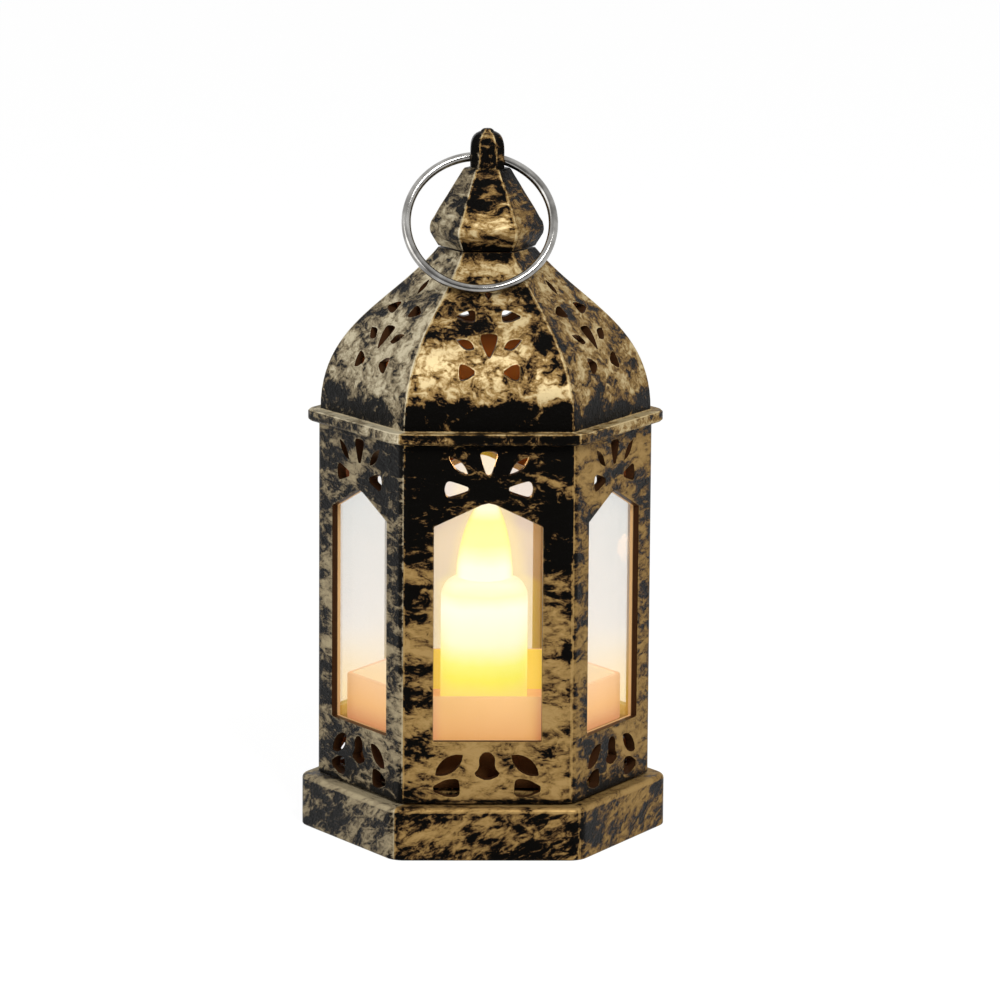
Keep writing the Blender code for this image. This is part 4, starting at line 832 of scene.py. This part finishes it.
def side_place(finish):
    """Place on the six-sided lantern.

    Distance across the side, out from the axis and to the nearest arris, the side's number with 1 in front,
    the height, and how much the surface faces outwards.
    """
    x, y, z = finish.node("SeparateXYZ", {0: finish.place}).outputs
    around = finish.calc("ARCTAN2", y, x)
    turns = finish.calc("MULTIPLY_ADD", around, 1 / SIDE, math.pi / SIDE)
    side = finish.calc("FLOOR", turns)
    within = finish.calc("MULTIPLY_ADD", finish.calc("SUBTRACT", turns, side), SIDE, -HALF_SIDE)
    reach = finish.calc("SQRT", finish.calc("ADD", finish.calc("MULTIPLY", x, x), finish.calc("MULTIPLY", y, y)))
    across = finish.calc("MULTIPLY", reach, finish.calc("SINE", within))
    away = finish.calc("MULTIPLY", reach, finish.calc("COSINE", within))
    arris = finish.calc("SUBTRACT", finish.calc("MULTIPLY", away, math.tan(HALF_SIDE)),
                       finish.calc("ABSOLUTE", across))
    middle_angle = finish.calc("SUBTRACT", around, within)
    nx, ny, _ = finish.node("SeparateXYZ", {0: finish.node("TexCoord").outputs["Normal"]}).outputs
    facing = finish.calc("ADD", finish.calc("MULTIPLY", nx, finish.calc("COSINE", middle_angle)),
                        finish.calc("MULTIPLY", ny, finish.calc("SINE", middle_angle)))
    return across, away, arris, side, z, facing


BLACK = (0.0022, 0.0019, 0.0015)
GOLD_TONES = (0.038, 0.02, 0.008), (0.115, 0.066, 0.024), (0.245, 0.15, 0.05)
# PALE_SHEEN_TONES, for the left sides, are paler and greyer: paint tones that carry a painted grey sheen.
PALE_SHEEN_TONES = (0.045, 0.033, 0.02), (0.125, 0.098, 0.06), (0.27, 0.218, 0.135)
# CREAM_GOLD_HIGHLIT, for the roof and bell, is lighter and creamier than FLAT_GOLD: partly a painted highlight
# where they face the light.
CREAM_GOLD_HIGHLIT = (0.51, 0.4, 0.215), (0.56, 0.49, 0.34)
FLAT_GOLD = (0.335, 0.215, 0.08), (0.4, 0.33, 0.205)
# Colours of the inner faces: painted candle light near the candle and painted shade away from it.
INSIDE_LIT = (0.24, 0.095, 0.026)
INSIDE_DIM = (0.1, 0.03, 0.006)
INSIDE_CANDLE_GLOW = (0.46, 0.24, 0.1)
INSIDE_SHADE = (0.03, 0.013, 0.006)
# LIT_REVEAL is painted candle light on the windows' reveals; HOUSING_DIM_GLOW and REVEAL_DIM_GLOW are a dimmer
# painted candle glow on the housing and the cut faces.
LIT_REVEAL = (0.62, 0.4, 0.19)
HOUSING_DIM_GLOW = (0.098, 0.04, 0.013)
REVEAL_DIM_GLOW = (0.036, 0.015, 0.006)
PAINT_SHEEN = 0.05
PAINT_SHEEN_TINT = (0.25, 0.25, 0.25, 1)
FRONT_SIDE = 1.0
RIGHT_SIDES = 2.5
SIDE_SHIFT = 0.37
ARRIS_REACH = 0.0024
RUBBED_AND_LIT_RADIUS = 0.00045
PATCH_WEIGHT = 2.0
STROKE_WEIGHT = 1.9
FLECK_WEIGHT = 0.6


def brush_marks(finish, across, away, side, z, seed, slant, streak):
    """Patches, strokes and flecks of a brush that is drawn aslant over each side."""
    cos = math.cos(slant)
    sin = math.sin(slant)
    run = finish.calc("ADD", finish.calc("MULTIPLY", across, cos), finish.calc("MULTIPLY", z, sin))
    rise = finish.calc("SUBTRACT", finish.calc("MULTIPLY", z, cos), finish.calc("MULTIPLY", across, sin))
    depth = finish.calc("ADD", away, finish.calc("MULTIPLY_ADD", side, SIDE_SHIFT, seed))
    plane = finish.node("CombineXYZ", {0: finish.calc("MULTIPLY", run, streak), 1: depth, 2: rise}).outputs[0]
    patches = finish.noise(plane, 170, 4, 0.6, 0.6)
    strokes = finish.noise(plane, 620, 9, 0.66, 0.9)
    return patches, strokes, finish.noise(plane, 2300, 4, 0.7)


def rubbed_and_lit_edges(finish, arris, edge_gold):
    """The gold that arrises and rubbed edges have more, partly wear and partly a painted highlight."""
    # Just inside the bright line the gold dips below its level: a painted shadow beside the arris.
    line = finish.ramp(finish.span(arris, 0.0, ARRIS_REACH),
                       [(0, 0.5 + edge_gold), (0.09, 0.5 + edge_gold * 0.85), (0.19, 0.42), (0.6, 0.45),
                        (0.9, 0.5)])
    rounded = finish.node("Bevel", {"Radius": RUBBED_AND_LIT_RADIUS}, samples=4).outputs["Normal"]
    flat = finish.node("NewGeometry").outputs["Normal"]
    bend = finish.node("VectorMath", {0: rounded, 1: flat}, operation="DOT_PRODUCT").outputs["Value"]
    return finish.calc("ADD", finish.calc("SUBTRACT", line, 0.5), finish.span(bend, 0.99, 0.86, 0.0, 0.22))


def cut_face(finish, away, z, lit_depth):
    """Brown painted candle glow on the cut faces round the openings; the windows' brighter from lit_depth in."""
    if lit_depth is None:
        return REVEAL_DIM_GLOW
    deep = finish.span(away, lit_depth + 0.0001, lit_depth - 0.0001)
    by_window = finish.calc("COMPARE", z, (WINDOW_SILL_Z + WINDOW_APEX_Z) / 2,
                           (WINDOW_APEX_Z - WINDOW_SILL_Z) / 2 + 0.0002)
    return finish.blend(finish.calc("MULTIPLY", deep, by_window), REVEAL_DIM_GLOW, LIT_REVEAL)


def worn_paint(name, low, high, sides, front, inside, brightest, edge_gold, seed, slant=0.0, streak=0.5,
               rim=None, skin_foot=None, lit_depth=None, housing=None, right_side_light=0.0):
    """Gold dry-brushed over black, paler on the left sides than elsewhere, where a grey sheen is painted in.

    sides and front give the share of gold by height, from low to high, and inside the inner face's colour, which
    is painted candle light and shade.
    right_side_light is the gold that the two right sides have more, painted light and shade by side. rim is a
    line of
    gold: its height, half its width and the gold, on the base partly a painted highlight. Over skin_foot only
    faces that look outwards are painted. Over housing all is brown, a dim painted candle glow.
    """
    finish = Finish(name)
    across, away, arris, side, z, facing = side_place(finish)
    patches, strokes, flecks = brush_marks(finish, across, away, side, z, seed, slant, streak)
    share = finish.height(low, high)
    is_front = finish.calc("COMPARE", side, FRONT_SIDE, 0.5)
    is_right = finish.calc("COMPARE", side, RIGHT_SIDES, 0.6)
    paint = finish.between(is_front, finish.ramp(share, sides), finish.ramp(share, front))
    # right_side_light adds or takes away gold on the two right sides: painted light and shade by side.
    paint = finish.calc("MULTIPLY_ADD", is_right, right_side_light, paint)
    for marks, weight in ((patches, PATCH_WEIGHT), (strokes, STROKE_WEIGHT), (flecks, FLECK_WEIGHT)):
        paint = finish.calc("MULTIPLY_ADD", finish.calc("SUBTRACT", marks, 0.5), weight, paint)
    paint = finish.calc("ADD", paint, rubbed_and_lit_edges(finish, arris, edge_gold))
    if rim is not None:
        rim_z, rim_half, rim_gold = rim
        off_rim = finish.calc("ABSOLUTE", finish.calc("SUBTRACT", z, rim_z))
        paint = finish.calc("ADD", paint, finish.span(off_rim, rim_half, rim_half * 0.6, 0.0, rim_gold))
    if skin_foot is not None:
        foot = finish.calc("LESS_THAN", z, skin_foot)
        painted = finish.calc("MAXIMUM", finish.span(facing, 0.12, 0.42), foot)
        paint = finish.calc("MULTIPLY", paint, painted)
    golden, pale_sheen = (finish.ramp(paint, [(0, BLACK), (0.4, BLACK), (0.45, tones[0]), (0.54, tones[1]),
                                        (0.69, tones[2]), (1, last)])
                    for tones, last in zip((GOLD_TONES, PALE_SHEEN_TONES), brightest))
    # The left sides take the pale tones, which carry a painted grey sheen.
    left = finish.calc("ADD", finish.calc("LESS_THAN", side, 0.5), finish.calc("GREATER_THAN", side, 4.5))
    colour = finish.blend(left, golden, pale_sheen)
    if skin_foot is not None:
        # Faces that look sideways take the cut faces' painted candle glow.
        colour = finish.blend(painted, cut_face(finish, away, z, lit_depth), colour)
    # Inner faces take painted candle light and shade by height.
    colour = finish.blend(finish.span(facing, -0.3, -0.6), colour, finish.ramp(share, inside))
    # Over the housing's height all is a dim painted candle glow.
    if housing is not None:
        colour = finish.blend(finish.calc("GREATER_THAN", z, housing), colour, HOUSING_DIM_GLOW)
    finish.join(colour, "Base Color")
    finish.join(finish.ramp(paint, [(0, 0.32), (0.42, 0.28), (0.56, 0.46), (1, 0.44)]), "Roughness")
    finish.join(finish.ramp(paint, [(0, 0.0), (0.48, 0.0), (0.62, 0.35), (1, 0.45)]), "Metallic")
    finish.shader.inputs["Specular IOR Level"].default_value = PAINT_SHEEN
    finish.shader.inputs["Specular Tint"].default_value = PAINT_SHEEN_TINT
    finish.bump(finish.calc("MULTIPLY_ADD", flecks, 0.25, finish.calc("MINIMUM", paint, 0.8)), 0.00018, 0.8)
    return finish.made


def polished_steel():
    finish = Finish("polished_steel", Metallic=1.0)
    smears = finish.noise(finish.place, 260, 3, 0.55)
    finish.join(finish.ramp(smears, [(0.35, (0.19, 0.182, 0.17)), (0.65, (0.42, 0.41, 0.39))]), "Base Color")
    finish.join(finish.ramp(smears, [(0.3, 0.11), (0.7, 0.18)]), "Roughness")
    finish.bump(finish.noise(finish.place, 900, 2), 0.00002, 0.2)
    return finish.made


PANE_GLOW_Z = 0.02
PANE_GLOW_TOP_Z = 0.064
FLAME_GLOW_HALF = 0.01


def clear_pane():
    """Clear plastic with a little haze, painted with warm candle light straight through it and low down."""
    finish = Finish("clear_pane", Alpha=0.23, Emission_Strength=1.0, Specular_IOR_Level=0.2)
    across = side_place(finish)[0]
    haze = finish.noise(finish.place, 120, 3)
    finish.join(finish.ramp(haze, [(0.3, (0.2, 0.155, 0.105)), (0.7, (0.24, 0.185, 0.135))]), "Base Color")
    share = finish.height(PANE_GLOW_Z, PANE_GLOW_TOP_Z)
    # Painted candle light seen straight through the pane, by height.
    through = finish.ramp(share, [(0, (0.37, 0.17, 0.0)), (0.3, (0.37, 0.2, 0.03)),
                                  (0.7, (0.37, 0.22, 0.07))])
    flame_half = finish.ramp(share, [(0, 0.8), (0.64, 0.8), (0.68, 0.55), (0.83, 0.42), (0.93, 0.25),
                                     (1, 0.0)])
    off_flame = finish.calc("MULTIPLY_ADD", flame_half, -FLAME_GLOW_HALF, finish.calc("ABSOLUTE", across))
    # A painted halo of light where the flame shows through, fading just outside it.
    painted_halo = finish.span(off_flame, -0.0005, 0.0022, 1.0, 0.0, interpolation_type="SMOOTHSTEP")
    through = finish.blend(painted_halo, through, (0.62, 0.42, 0.0))
    # Seen aslant the pane glows warm low down and grey higher up: painted light and a painted reflection.
    aslant = finish.ramp(share, [(0, (0.52, 0.3, 0.05)), (0.09, (0.8, 0.55, 0.09)),
                                 (0.22, (0.72, 0.54, 0.24)), (0.33, (0.6, 0.56, 0.46)),
                                 (0.41, (0.53, 0.52, 0.48)), (0.86, (0.41, 0.46, 0.46))])
    turned_away = finish.node("LayerWeight", {"Blend": 0.5}).outputs["Facing"]
    finish.join(finish.blend(finish.span(turned_away, 0.1, 0.42), through, aslant), "Emission Color")
    finish.join(finish.ramp(haze, [(0.3, 0.04), (0.7, 0.09)]), "Roughness")
    finish.bump(finish.noise(finish.place, 60, 2), 0.0001, 0.2)
    finish.made.surface_render_method = "DITHERED"
    return finish.made


def glowing(name, low, high, colours, strength, base, rim=None, inner=None):
    """Milky plastic lit from inside, its glow following the height and deepening towards its outline.

    inner is for the cup's inner faces: the glow at front and back, their colour, and the others' glow.
    """
    finish = Finish(name, Emission_Strength=strength, Specular_IOR_Level=0.25)
    cloud = finish.noise(finish.place, 260, 3)
    share = finish.calc("MULTIPLY_ADD", finish.calc("SUBTRACT", cloud, 0.5), 0.05, finish.height(low, high))
    glow = finish.ramp(share, colours)
    if rim is not None:
        turned_away = finish.node("LayerWeight", {"Blend": 0.35}).outputs["Facing"]
        glow = finish.blend(finish.span(turned_away, 0.25, 0.85), glow, finish.ramp(share, rim))
    skin = finish.ramp(cloud, [(0.3, base), (0.7, tuple(part * 1.15 for part in base))])
    if inner is not None:
        ends_glow, inner_skin, sides_glow = inner
        _, _, _, side, _, facing = side_place(finish)
        inward = finish.span(facing, -0.2, -0.5)
        is_end = finish.calc("COMPARE", finish.calc("MODULO", side, 3.0), FRONT_SIDE, 0.5)
        glow = finish.blend(inward, glow, finish.blend(is_end, sides_glow, ends_glow))
        skin = finish.blend(inward, skin, inner_skin)
    finish.join(glow, "Emission Color")
    finish.join(skin, "Base Color")
    finish.join(finish.ramp(cloud, [(0.3, 0.35), (0.7, 0.5)]), "Roughness")
    finish.bump(finish.noise(finish.place, 1800, 3), 0.00005, 0.3)
    return finish.made


def plain_finish(name, dark, light, rough, metallic, scale, depth, stretch=(1, 1, 1)):
    """Moulding, tinned metal or wire cover with fine variation."""
    finish = Finish(name, Metallic=metallic)
    place = finish.node("Mapping", {"Vector": finish.place, "Scale": stretch}).outputs["Vector"]
    grain = finish.noise(place, scale, 5, 0.6)
    finish.join(finish.ramp(grain, [(0.3, dark), (0.7, light)]), "Base Color")
    finish.join(finish.ramp(grain, [(0.3, rough[0]), (0.7, rough[1])]), "Roughness")
    finish.bump(finish.noise(place, scale * 3, 3), depth, 0.5)
    return finish.made


def candle_colours(stops):
    """Stops by height above the floor, turned into shares of the candle's height."""
    return [((z - CANDLE_Z) / (CANDLE_TOP_Z - CANDLE_Z), colour) for z, colour in stops]


# The lantern

# Towards the body the base's gold falls off, a painted shade where the body stands on it; the rim line is partly
# rubbed gold and partly a painted highlight on the rounded top edge.
gold_base = worn_paint(
    "worn_gold_base", 0.0, BASE_PAINT_TOP_Z, [(0, 0.44), (0.42, 0.44), (0.52, 0.4)],
    [(0, 0.48), (0.42, 0.46), (0.52, 0.4)], [(0, INSIDE_DIM), (1, INSIDE_DIM)],
    FLAT_GOLD, 0.16, 3.1, math.radians(24), rim=(BASE_HEIGHT - 0.0004, 0.0006, 0.35),
    housing=BASE_HEIGHT + RIB_HEIGHT, right_side_light=0.08)
# Almost no gold at the body's foot: a painted shade in the crease where it meets the base.
gold_body = worn_paint(
    "worn_gold_body", BODY_FOOT_Z, BODY_TOP_Z,
    [(0, 0.1), (0.012, 0.36), (0.1, 0.46), (0.2, 0.56), (0.45, 0.55), (0.65, 0.5), (1, 0.48)],
    [(0, 0.1), (0.008, 0.2), (0.015, 0.6), (0.05, 0.7), (0.18, 0.68), (0.38, 0.62),
     (0.5, 0.59), (0.62, 0.48), (0.72, 0.22), (1, 0.18)],
    [(0, INSIDE_CANDLE_GLOW), (0.18, INSIDE_CANDLE_GLOW), (0.22, INSIDE_DIM), (1, INSIDE_DIM)],
    FLAT_GOLD, 0.2, 5.3, skin_foot=0.0,
    lit_depth=BODY_FLATS / 2 - BODY_WALL * 0.64, right_side_light=0.06)
# The gold falls off at the top of the neck, most at the front: painted shade under the bell.
gold_dome = worn_paint(
    "worn_gold_dome", EAVE_Z, DOME_NECK_Z,
    [(0, 0.58), (0.05, 0.64), (0.07, 0.28), (0.15, 0.34), (0.24, 0.68), (0.5, 0.7),
     (0.92, 0.6), (1, 0.45)],
    [(0, 0.29), (0.05, 0.29), (0.07, 0.05), (0.19, 0.08), (0.26, 0.76), (0.44, 0.8),
     (0.6, 0.58), (0.8, 0.54), (0.92, 0.62), (1, 0.1)],
    [(0, INSIDE_LIT), (0.28, INSIDE_LIT), (0.42, INSIDE_SHADE), (1, INSIDE_SHADE)],
    CREAM_GOLD_HIGHLIT, 0.25, 8.7, streak=0.8, rim=(DOME_FOOT_Z, 0.00022, 0.5),
    skin_foot=DOME_FOOT_Z + 0.002, right_side_light=-0.04)
# Little gold low on the front of the bell's flare: painted shade on its underside.
gold_bell = worn_paint(
    "worn_gold_bell", BELL_Z, POST_TOP_Z,
    [(0, 0.46), (0.1, 0.54), (0.17, 0.64), (0.3, 0.58), (0.64, 0.54), (0.68, 0.3), (1, 0.34)],
    [(0, 0.2), (0.08, 0.34), (0.15, 0.62), (0.22, 0.56), (0.34, 0.46), (0.64, 0.44),
     (0.68, 0.28), (1, 0.34)],
    [(0, INSIDE_DIM), (1, INSIDE_DIM)], CREAM_GOLD_HIGHLIT, 0.2, 12.9, right_side_light=-0.07)
steel = polished_steel()
pane = clear_pane()
milky_cup = glowing(
    "milky_cup", CUP_Z, CUP_TOP_Z,
    [(0, (0.74, 0.16, 0.16)), (1, (1, 0.485, 0.31))], 0.61, (0.34, 0.22, 0.12),
    inner=((1, 0.68, 0.06), (0.34, 0.25, 0.05), (1, 0.86, 0.7)))
candle_wax = glowing(
    "candle_glow", CANDLE_Z, CANDLE_TOP_Z,
    candle_colours([(0.025, (0.66, 0.56, 0.14)), (0.0275, (0.64, 0.69, 0.06)),
                    (0.03, (0.66, 0.78, 0.18)), (0.034, (0.75, 0.86, 0.76)),
                    (0.04, (0.94, 0.96, 1.0)), (0.0423, (0.88, 0.9, 0.66)),
                    (0.0445, (0.9, 0.92, 0.9))]),
    1.3, (0.22, 0.17, 0.03),
    candle_colours([(0.025, (0.6, 0.46, 0.08)), (0.03, (0.63, 0.74, 0.12)),
                    (0.036, (0.75, 0.84, 0.64)), (0.039, (0.82, 0.86, 0.86)),
                    (0.0423, (0.8, 0.8, 0.56))]))
flame_glow = glowing(
    "flame_glow", FLAME_Z, FLAME_Z + FLAME_HEIGHT,
    [(0.13, (0.94, 0.94, 1.0)), (0.4, (0.92, 0.92, 0.45)), (0.68, (0.92, 0.92, 0.4)),
     (0.82, (0.95, 0.95, 0.9)), (0.93, (0.92, 0.92, 0.85)), (1, (0.9, 0.82, 0.5))],
    1.3, (0.22, 0.18, 0.03),
    [(0, (0.88, 0.84, 0.46)), (0.5, (0.88, 0.78, 0.22)), (1, (0.88, 0.74, 0.25))])
led_glow = glowing(
    "led_amber", CANDLE_LEDGE_Z, LED_TOP_Z,
    [(0, (1, 0.55, 0.12)), (1, (1, 0.8, 0.35))], 1.0, (0.8, 0.6, 0.3))
board_green = plain_finish(
    "board_green", (0.02, 0.1, 0.03), (0.04, 0.17, 0.06), (0.35, 0.5), 0.0, 900, 0.00002)
black_plastic = plain_finish(
    "black_plastic", (0.01, 0.01, 0.01), (0.022, 0.022, 0.021), (0.42, 0.58), 0.0, 1400, 0.00003)
screw_zinc = plain_finish(
    "screw_zinc", (0.52, 0.52, 0.5), (0.7, 0.7, 0.68), (0.22, 0.38), 1.0, 1500, 0.00002)
cell_steel = plain_finish(
    "cell_steel", (0.55, 0.54, 0.5), (0.72, 0.71, 0.68), (0.18, 0.32), 1.0, 700, 0.00001, (1, 4, 4))
tinned_metal = plain_finish(
    "tinned_metal", (0.5, 0.48, 0.43), (0.7, 0.68, 0.62), (0.25, 0.4), 1.0, 1100, 0.00001, (3, 1, 1))
red_lead = plain_finish("red_lead", (0.38, 0.02, 0.015), (0.55, 0.04, 0.03), (0.4, 0.55), 0.0, 2000, 0.00002)
black_lead = plain_finish(
    "black_lead", (0.01, 0.01, 0.01), (0.025, 0.025, 0.025), (0.4, 0.55), 0.0, 2000, 0.00002)

dress(model_base(), "lantern", "worn_gold", gold_base, "base_shell")
dress(model_body(), "lantern", "worn_gold", gold_body, "body_frame")
dress(model_dome(), "lantern", "worn_gold", gold_dome, "roof_dome")
dress(model_bell(), "lantern", "worn_gold", gold_bell, "cupola_finial")
dress(model_ring(), "ring", "polished_steel", steel, "hanging_ring")
dress(model_cup(), "lantern", "milky_plastic", milky_cup, "candle_cup")
dress(model_candle(), "lantern", "candle_plastic", candle_wax, "candle_body")
dress(model_flame(), "lantern", "flame_plastic", flame_glow, "flame_tip")
screw = model_screw()
for number, (x, y) in enumerate(base_screw_places(), 1):
    dress(copied(screw, f"plate_screw_{number}", (x, y, SCREW_SEAT_Z)), "lantern", "screw_steel", screw_zinc,
          f"base_screw_{number}")
door_low, door_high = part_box("battery_door_screw")
dress(copied(screw, "door_screw", ((door_low.x + door_high.x) / 2, 0, door_low.z + SCREW_HEAD)), "door",
      "screw_steel", screw_zinc, "battery_door_screw")
bpy.data.objects.remove(screw, do_unlink=True)

KEPT = {
    pane: [f"window_pane_{number}" for number in range(1, 7)],
    black_plastic: ["bottom_plate", "battery_door", "switch_slider"],
    cell_steel: ["button_cell_1", "button_cell_2", "button_cell_3"],
    tinned_metal: ["contact_plate", "contact_strip", "contact_spring", "switch_housing", "switch_pin_1",
                   "switch_pin_2", "switch_pin_3", "led_leg_1", "led_leg_2"],
    led_glow: ["flicker_led"],
    board_green: ["led_board"],
    red_lead: ["lead_battery_to_led"],
    black_lead: ["lead_battery_to_switch", "lead_switch_to_led"],
}
for finish, names in KEPT.items():
    for name in names:
        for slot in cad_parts[name].material_slots:
            slot.material = finish


# Floor, light and camera

WHITE = (1, 1, 1, 1)
FLOOR_SIZE = 6.0
FLOOR_GLOW = 1.08
FLOOR_GLOW_SHARE = 0.86
AMBIENT_LIGHT = 0.42
FRONT_REFLECTION = 0.12
CANDLE_ORANGE = (1, 0.52, 0.18)
LAMP_AIM = Vector((0, 0, 0.06))
CAMERA_AIM = Vector((0, 0, 0.062))
CAMERA_PITCH = math.radians(9.998)
CAMERA_YAW = math.radians(1.481)
CAMERA_ROLL = math.radians(0.387)
CAMERA_AWAY = 1.0199
SENSOR_WIDTH = 36
LENS_OVER_SENSOR = 5.7834
LENS_SHIFT = (0.01487, -0.01936)


def plain_floor():
    """Matt floor that the camera sees as white."""
    nothing_selected()
    bpy.ops.mesh.primitive_plane_add(size=FLOOR_SIZE, location=(0, 0, 0))
    floor = added("studio_floor")
    finish = Finish("studio_floor")
    nodes = finish.tree.nodes
    nodes.remove(finish.shader)
    speckle = finish.noise(finish.place, 40, 3)
    matt = finish.node("BsdfDiffuse", {"Color": finish.ramp(speckle, [(0.3, 0.93), (0.7, 0.95)])})
    white = finish.node("Emission", {"Color": WHITE, "Strength": FLOOR_GLOW})
    path = finish.node("LightPath").outputs
    seen = finish.calc("MAXIMUM", path["Is Camera Ray"],
                      finish.calc("MAXIMUM", path["Is Glossy Ray"], path["Is Transmission Ray"]))
    mixed = finish.node("MixShader", {0: finish.calc("MULTIPLY", seen, FLOOR_GLOW_SHARE), 1: matt.outputs[0],
                                      2: white.outputs[0]})
    finish.tree.links.new(mixed.outputs[0], nodes["Material Output"].inputs["Surface"])
    floor.data.materials.append(finish.made)


def studio_light():
    """White to the camera, even and weaker as light, and darker in front in reflections."""
    world = bpy.data.worlds.new("studio")
    bpy.context.scene.world = world
    world.use_nodes = True
    sky = Nodes(world.node_tree)
    path = sky.node("LightPath").outputs
    seen = sky.calc("MAXIMUM", path["Is Camera Ray"], path["Is Transmission Ray"])
    direction = sky.node("SeparateXYZ", {0: sky.node("TexCoord").outputs["Generated"]})
    reflected = sky.span(direction.outputs["Y"], -0.95, -0.35, FRONT_REFLECTION, 1.0)
    light = sky.between(path["Is Glossy Ray"], AMBIENT_LIGHT, reflected)
    back = sky.tree.nodes["Background"]
    back.inputs["Color"].default_value = WHITE
    sky.tree.links.new(sky.between(seen, light, 1.0), back.inputs["Strength"])


def lit(name, kind, place, power):
    """Put a lamp in the scene."""
    lamp = bpy.data.lights.new(name, kind)
    lamp.energy = power
    item = bpy.data.objects.new(name, lamp)
    bpy.context.scene.collection.objects.link(item)
    item.location = place
    return item


def soft_lamp(name, place, size, power):
    item = lit(name, "AREA", place, power)
    item.data.size = size
    item.rotation_euler = (LAMP_AIM - Vector(place)).to_track_quat("-Z", "Y").to_euler()


def candle_light(name, place, power, radius):
    item = lit(name, "POINT", place, power)
    item.data.color = CANDLE_ORANGE
    item.data.shadow_soft_size = radius
    item.visible_camera = False


def photo_camera():
    """Camera at the photograph's angle: a little above, a touch to the left, with a slight roll."""
    level_reach = math.cos(CAMERA_PITCH)
    ahead = Vector((math.sin(CAMERA_YAW) * level_reach, math.cos(CAMERA_YAW) * level_reach,
                    -math.sin(CAMERA_PITCH)))
    right = Vector((math.cos(CAMERA_YAW), -math.sin(CAMERA_YAW), 0))
    up = right.cross(ahead)
    rolled_right = right * math.cos(CAMERA_ROLL) + up * math.sin(CAMERA_ROLL)
    rolled_up = up * math.cos(CAMERA_ROLL) - right * math.sin(CAMERA_ROLL)
    lens = bpy.data.cameras.new("photo_camera")
    lens.sensor_width = SENSOR_WIDTH
    lens.lens = LENS_OVER_SENSOR * SENSOR_WIDTH
    lens.shift_x = LENS_SHIFT[0]
    lens.shift_y = LENS_SHIFT[1]
    lens.clip_start = 0.01
    lens.clip_end = 50
    camera = bpy.data.objects.new("photo_camera", lens)
    bpy.context.scene.collection.objects.link(camera)
    turned = Matrix((rolled_right, rolled_up, -ahead)).transposed().to_4x4()
    camera.matrix_world = Matrix.Translation(CAMERA_AIM - ahead * CAMERA_AWAY) @ turned
    bpy.context.scene.camera = camera


plain_floor()
studio_light()
soft_lamp("key", (0.3, -0.8, 0.78), 0.36, 10.0)
soft_lamp("fill", (-0.8, -0.45, 0.45), 0.6, 2.5)
candle_light("glow_over_flame", (0, 0, 0.0665), 0.008, 0.002)
candle_light("glow_behind_candle", (0.002, 0.0125, 0.045), 0.01, 0.003)
photo_camera()
bpy.context.scene.view_settings.view_transform = "Standard"

nothing_selected()
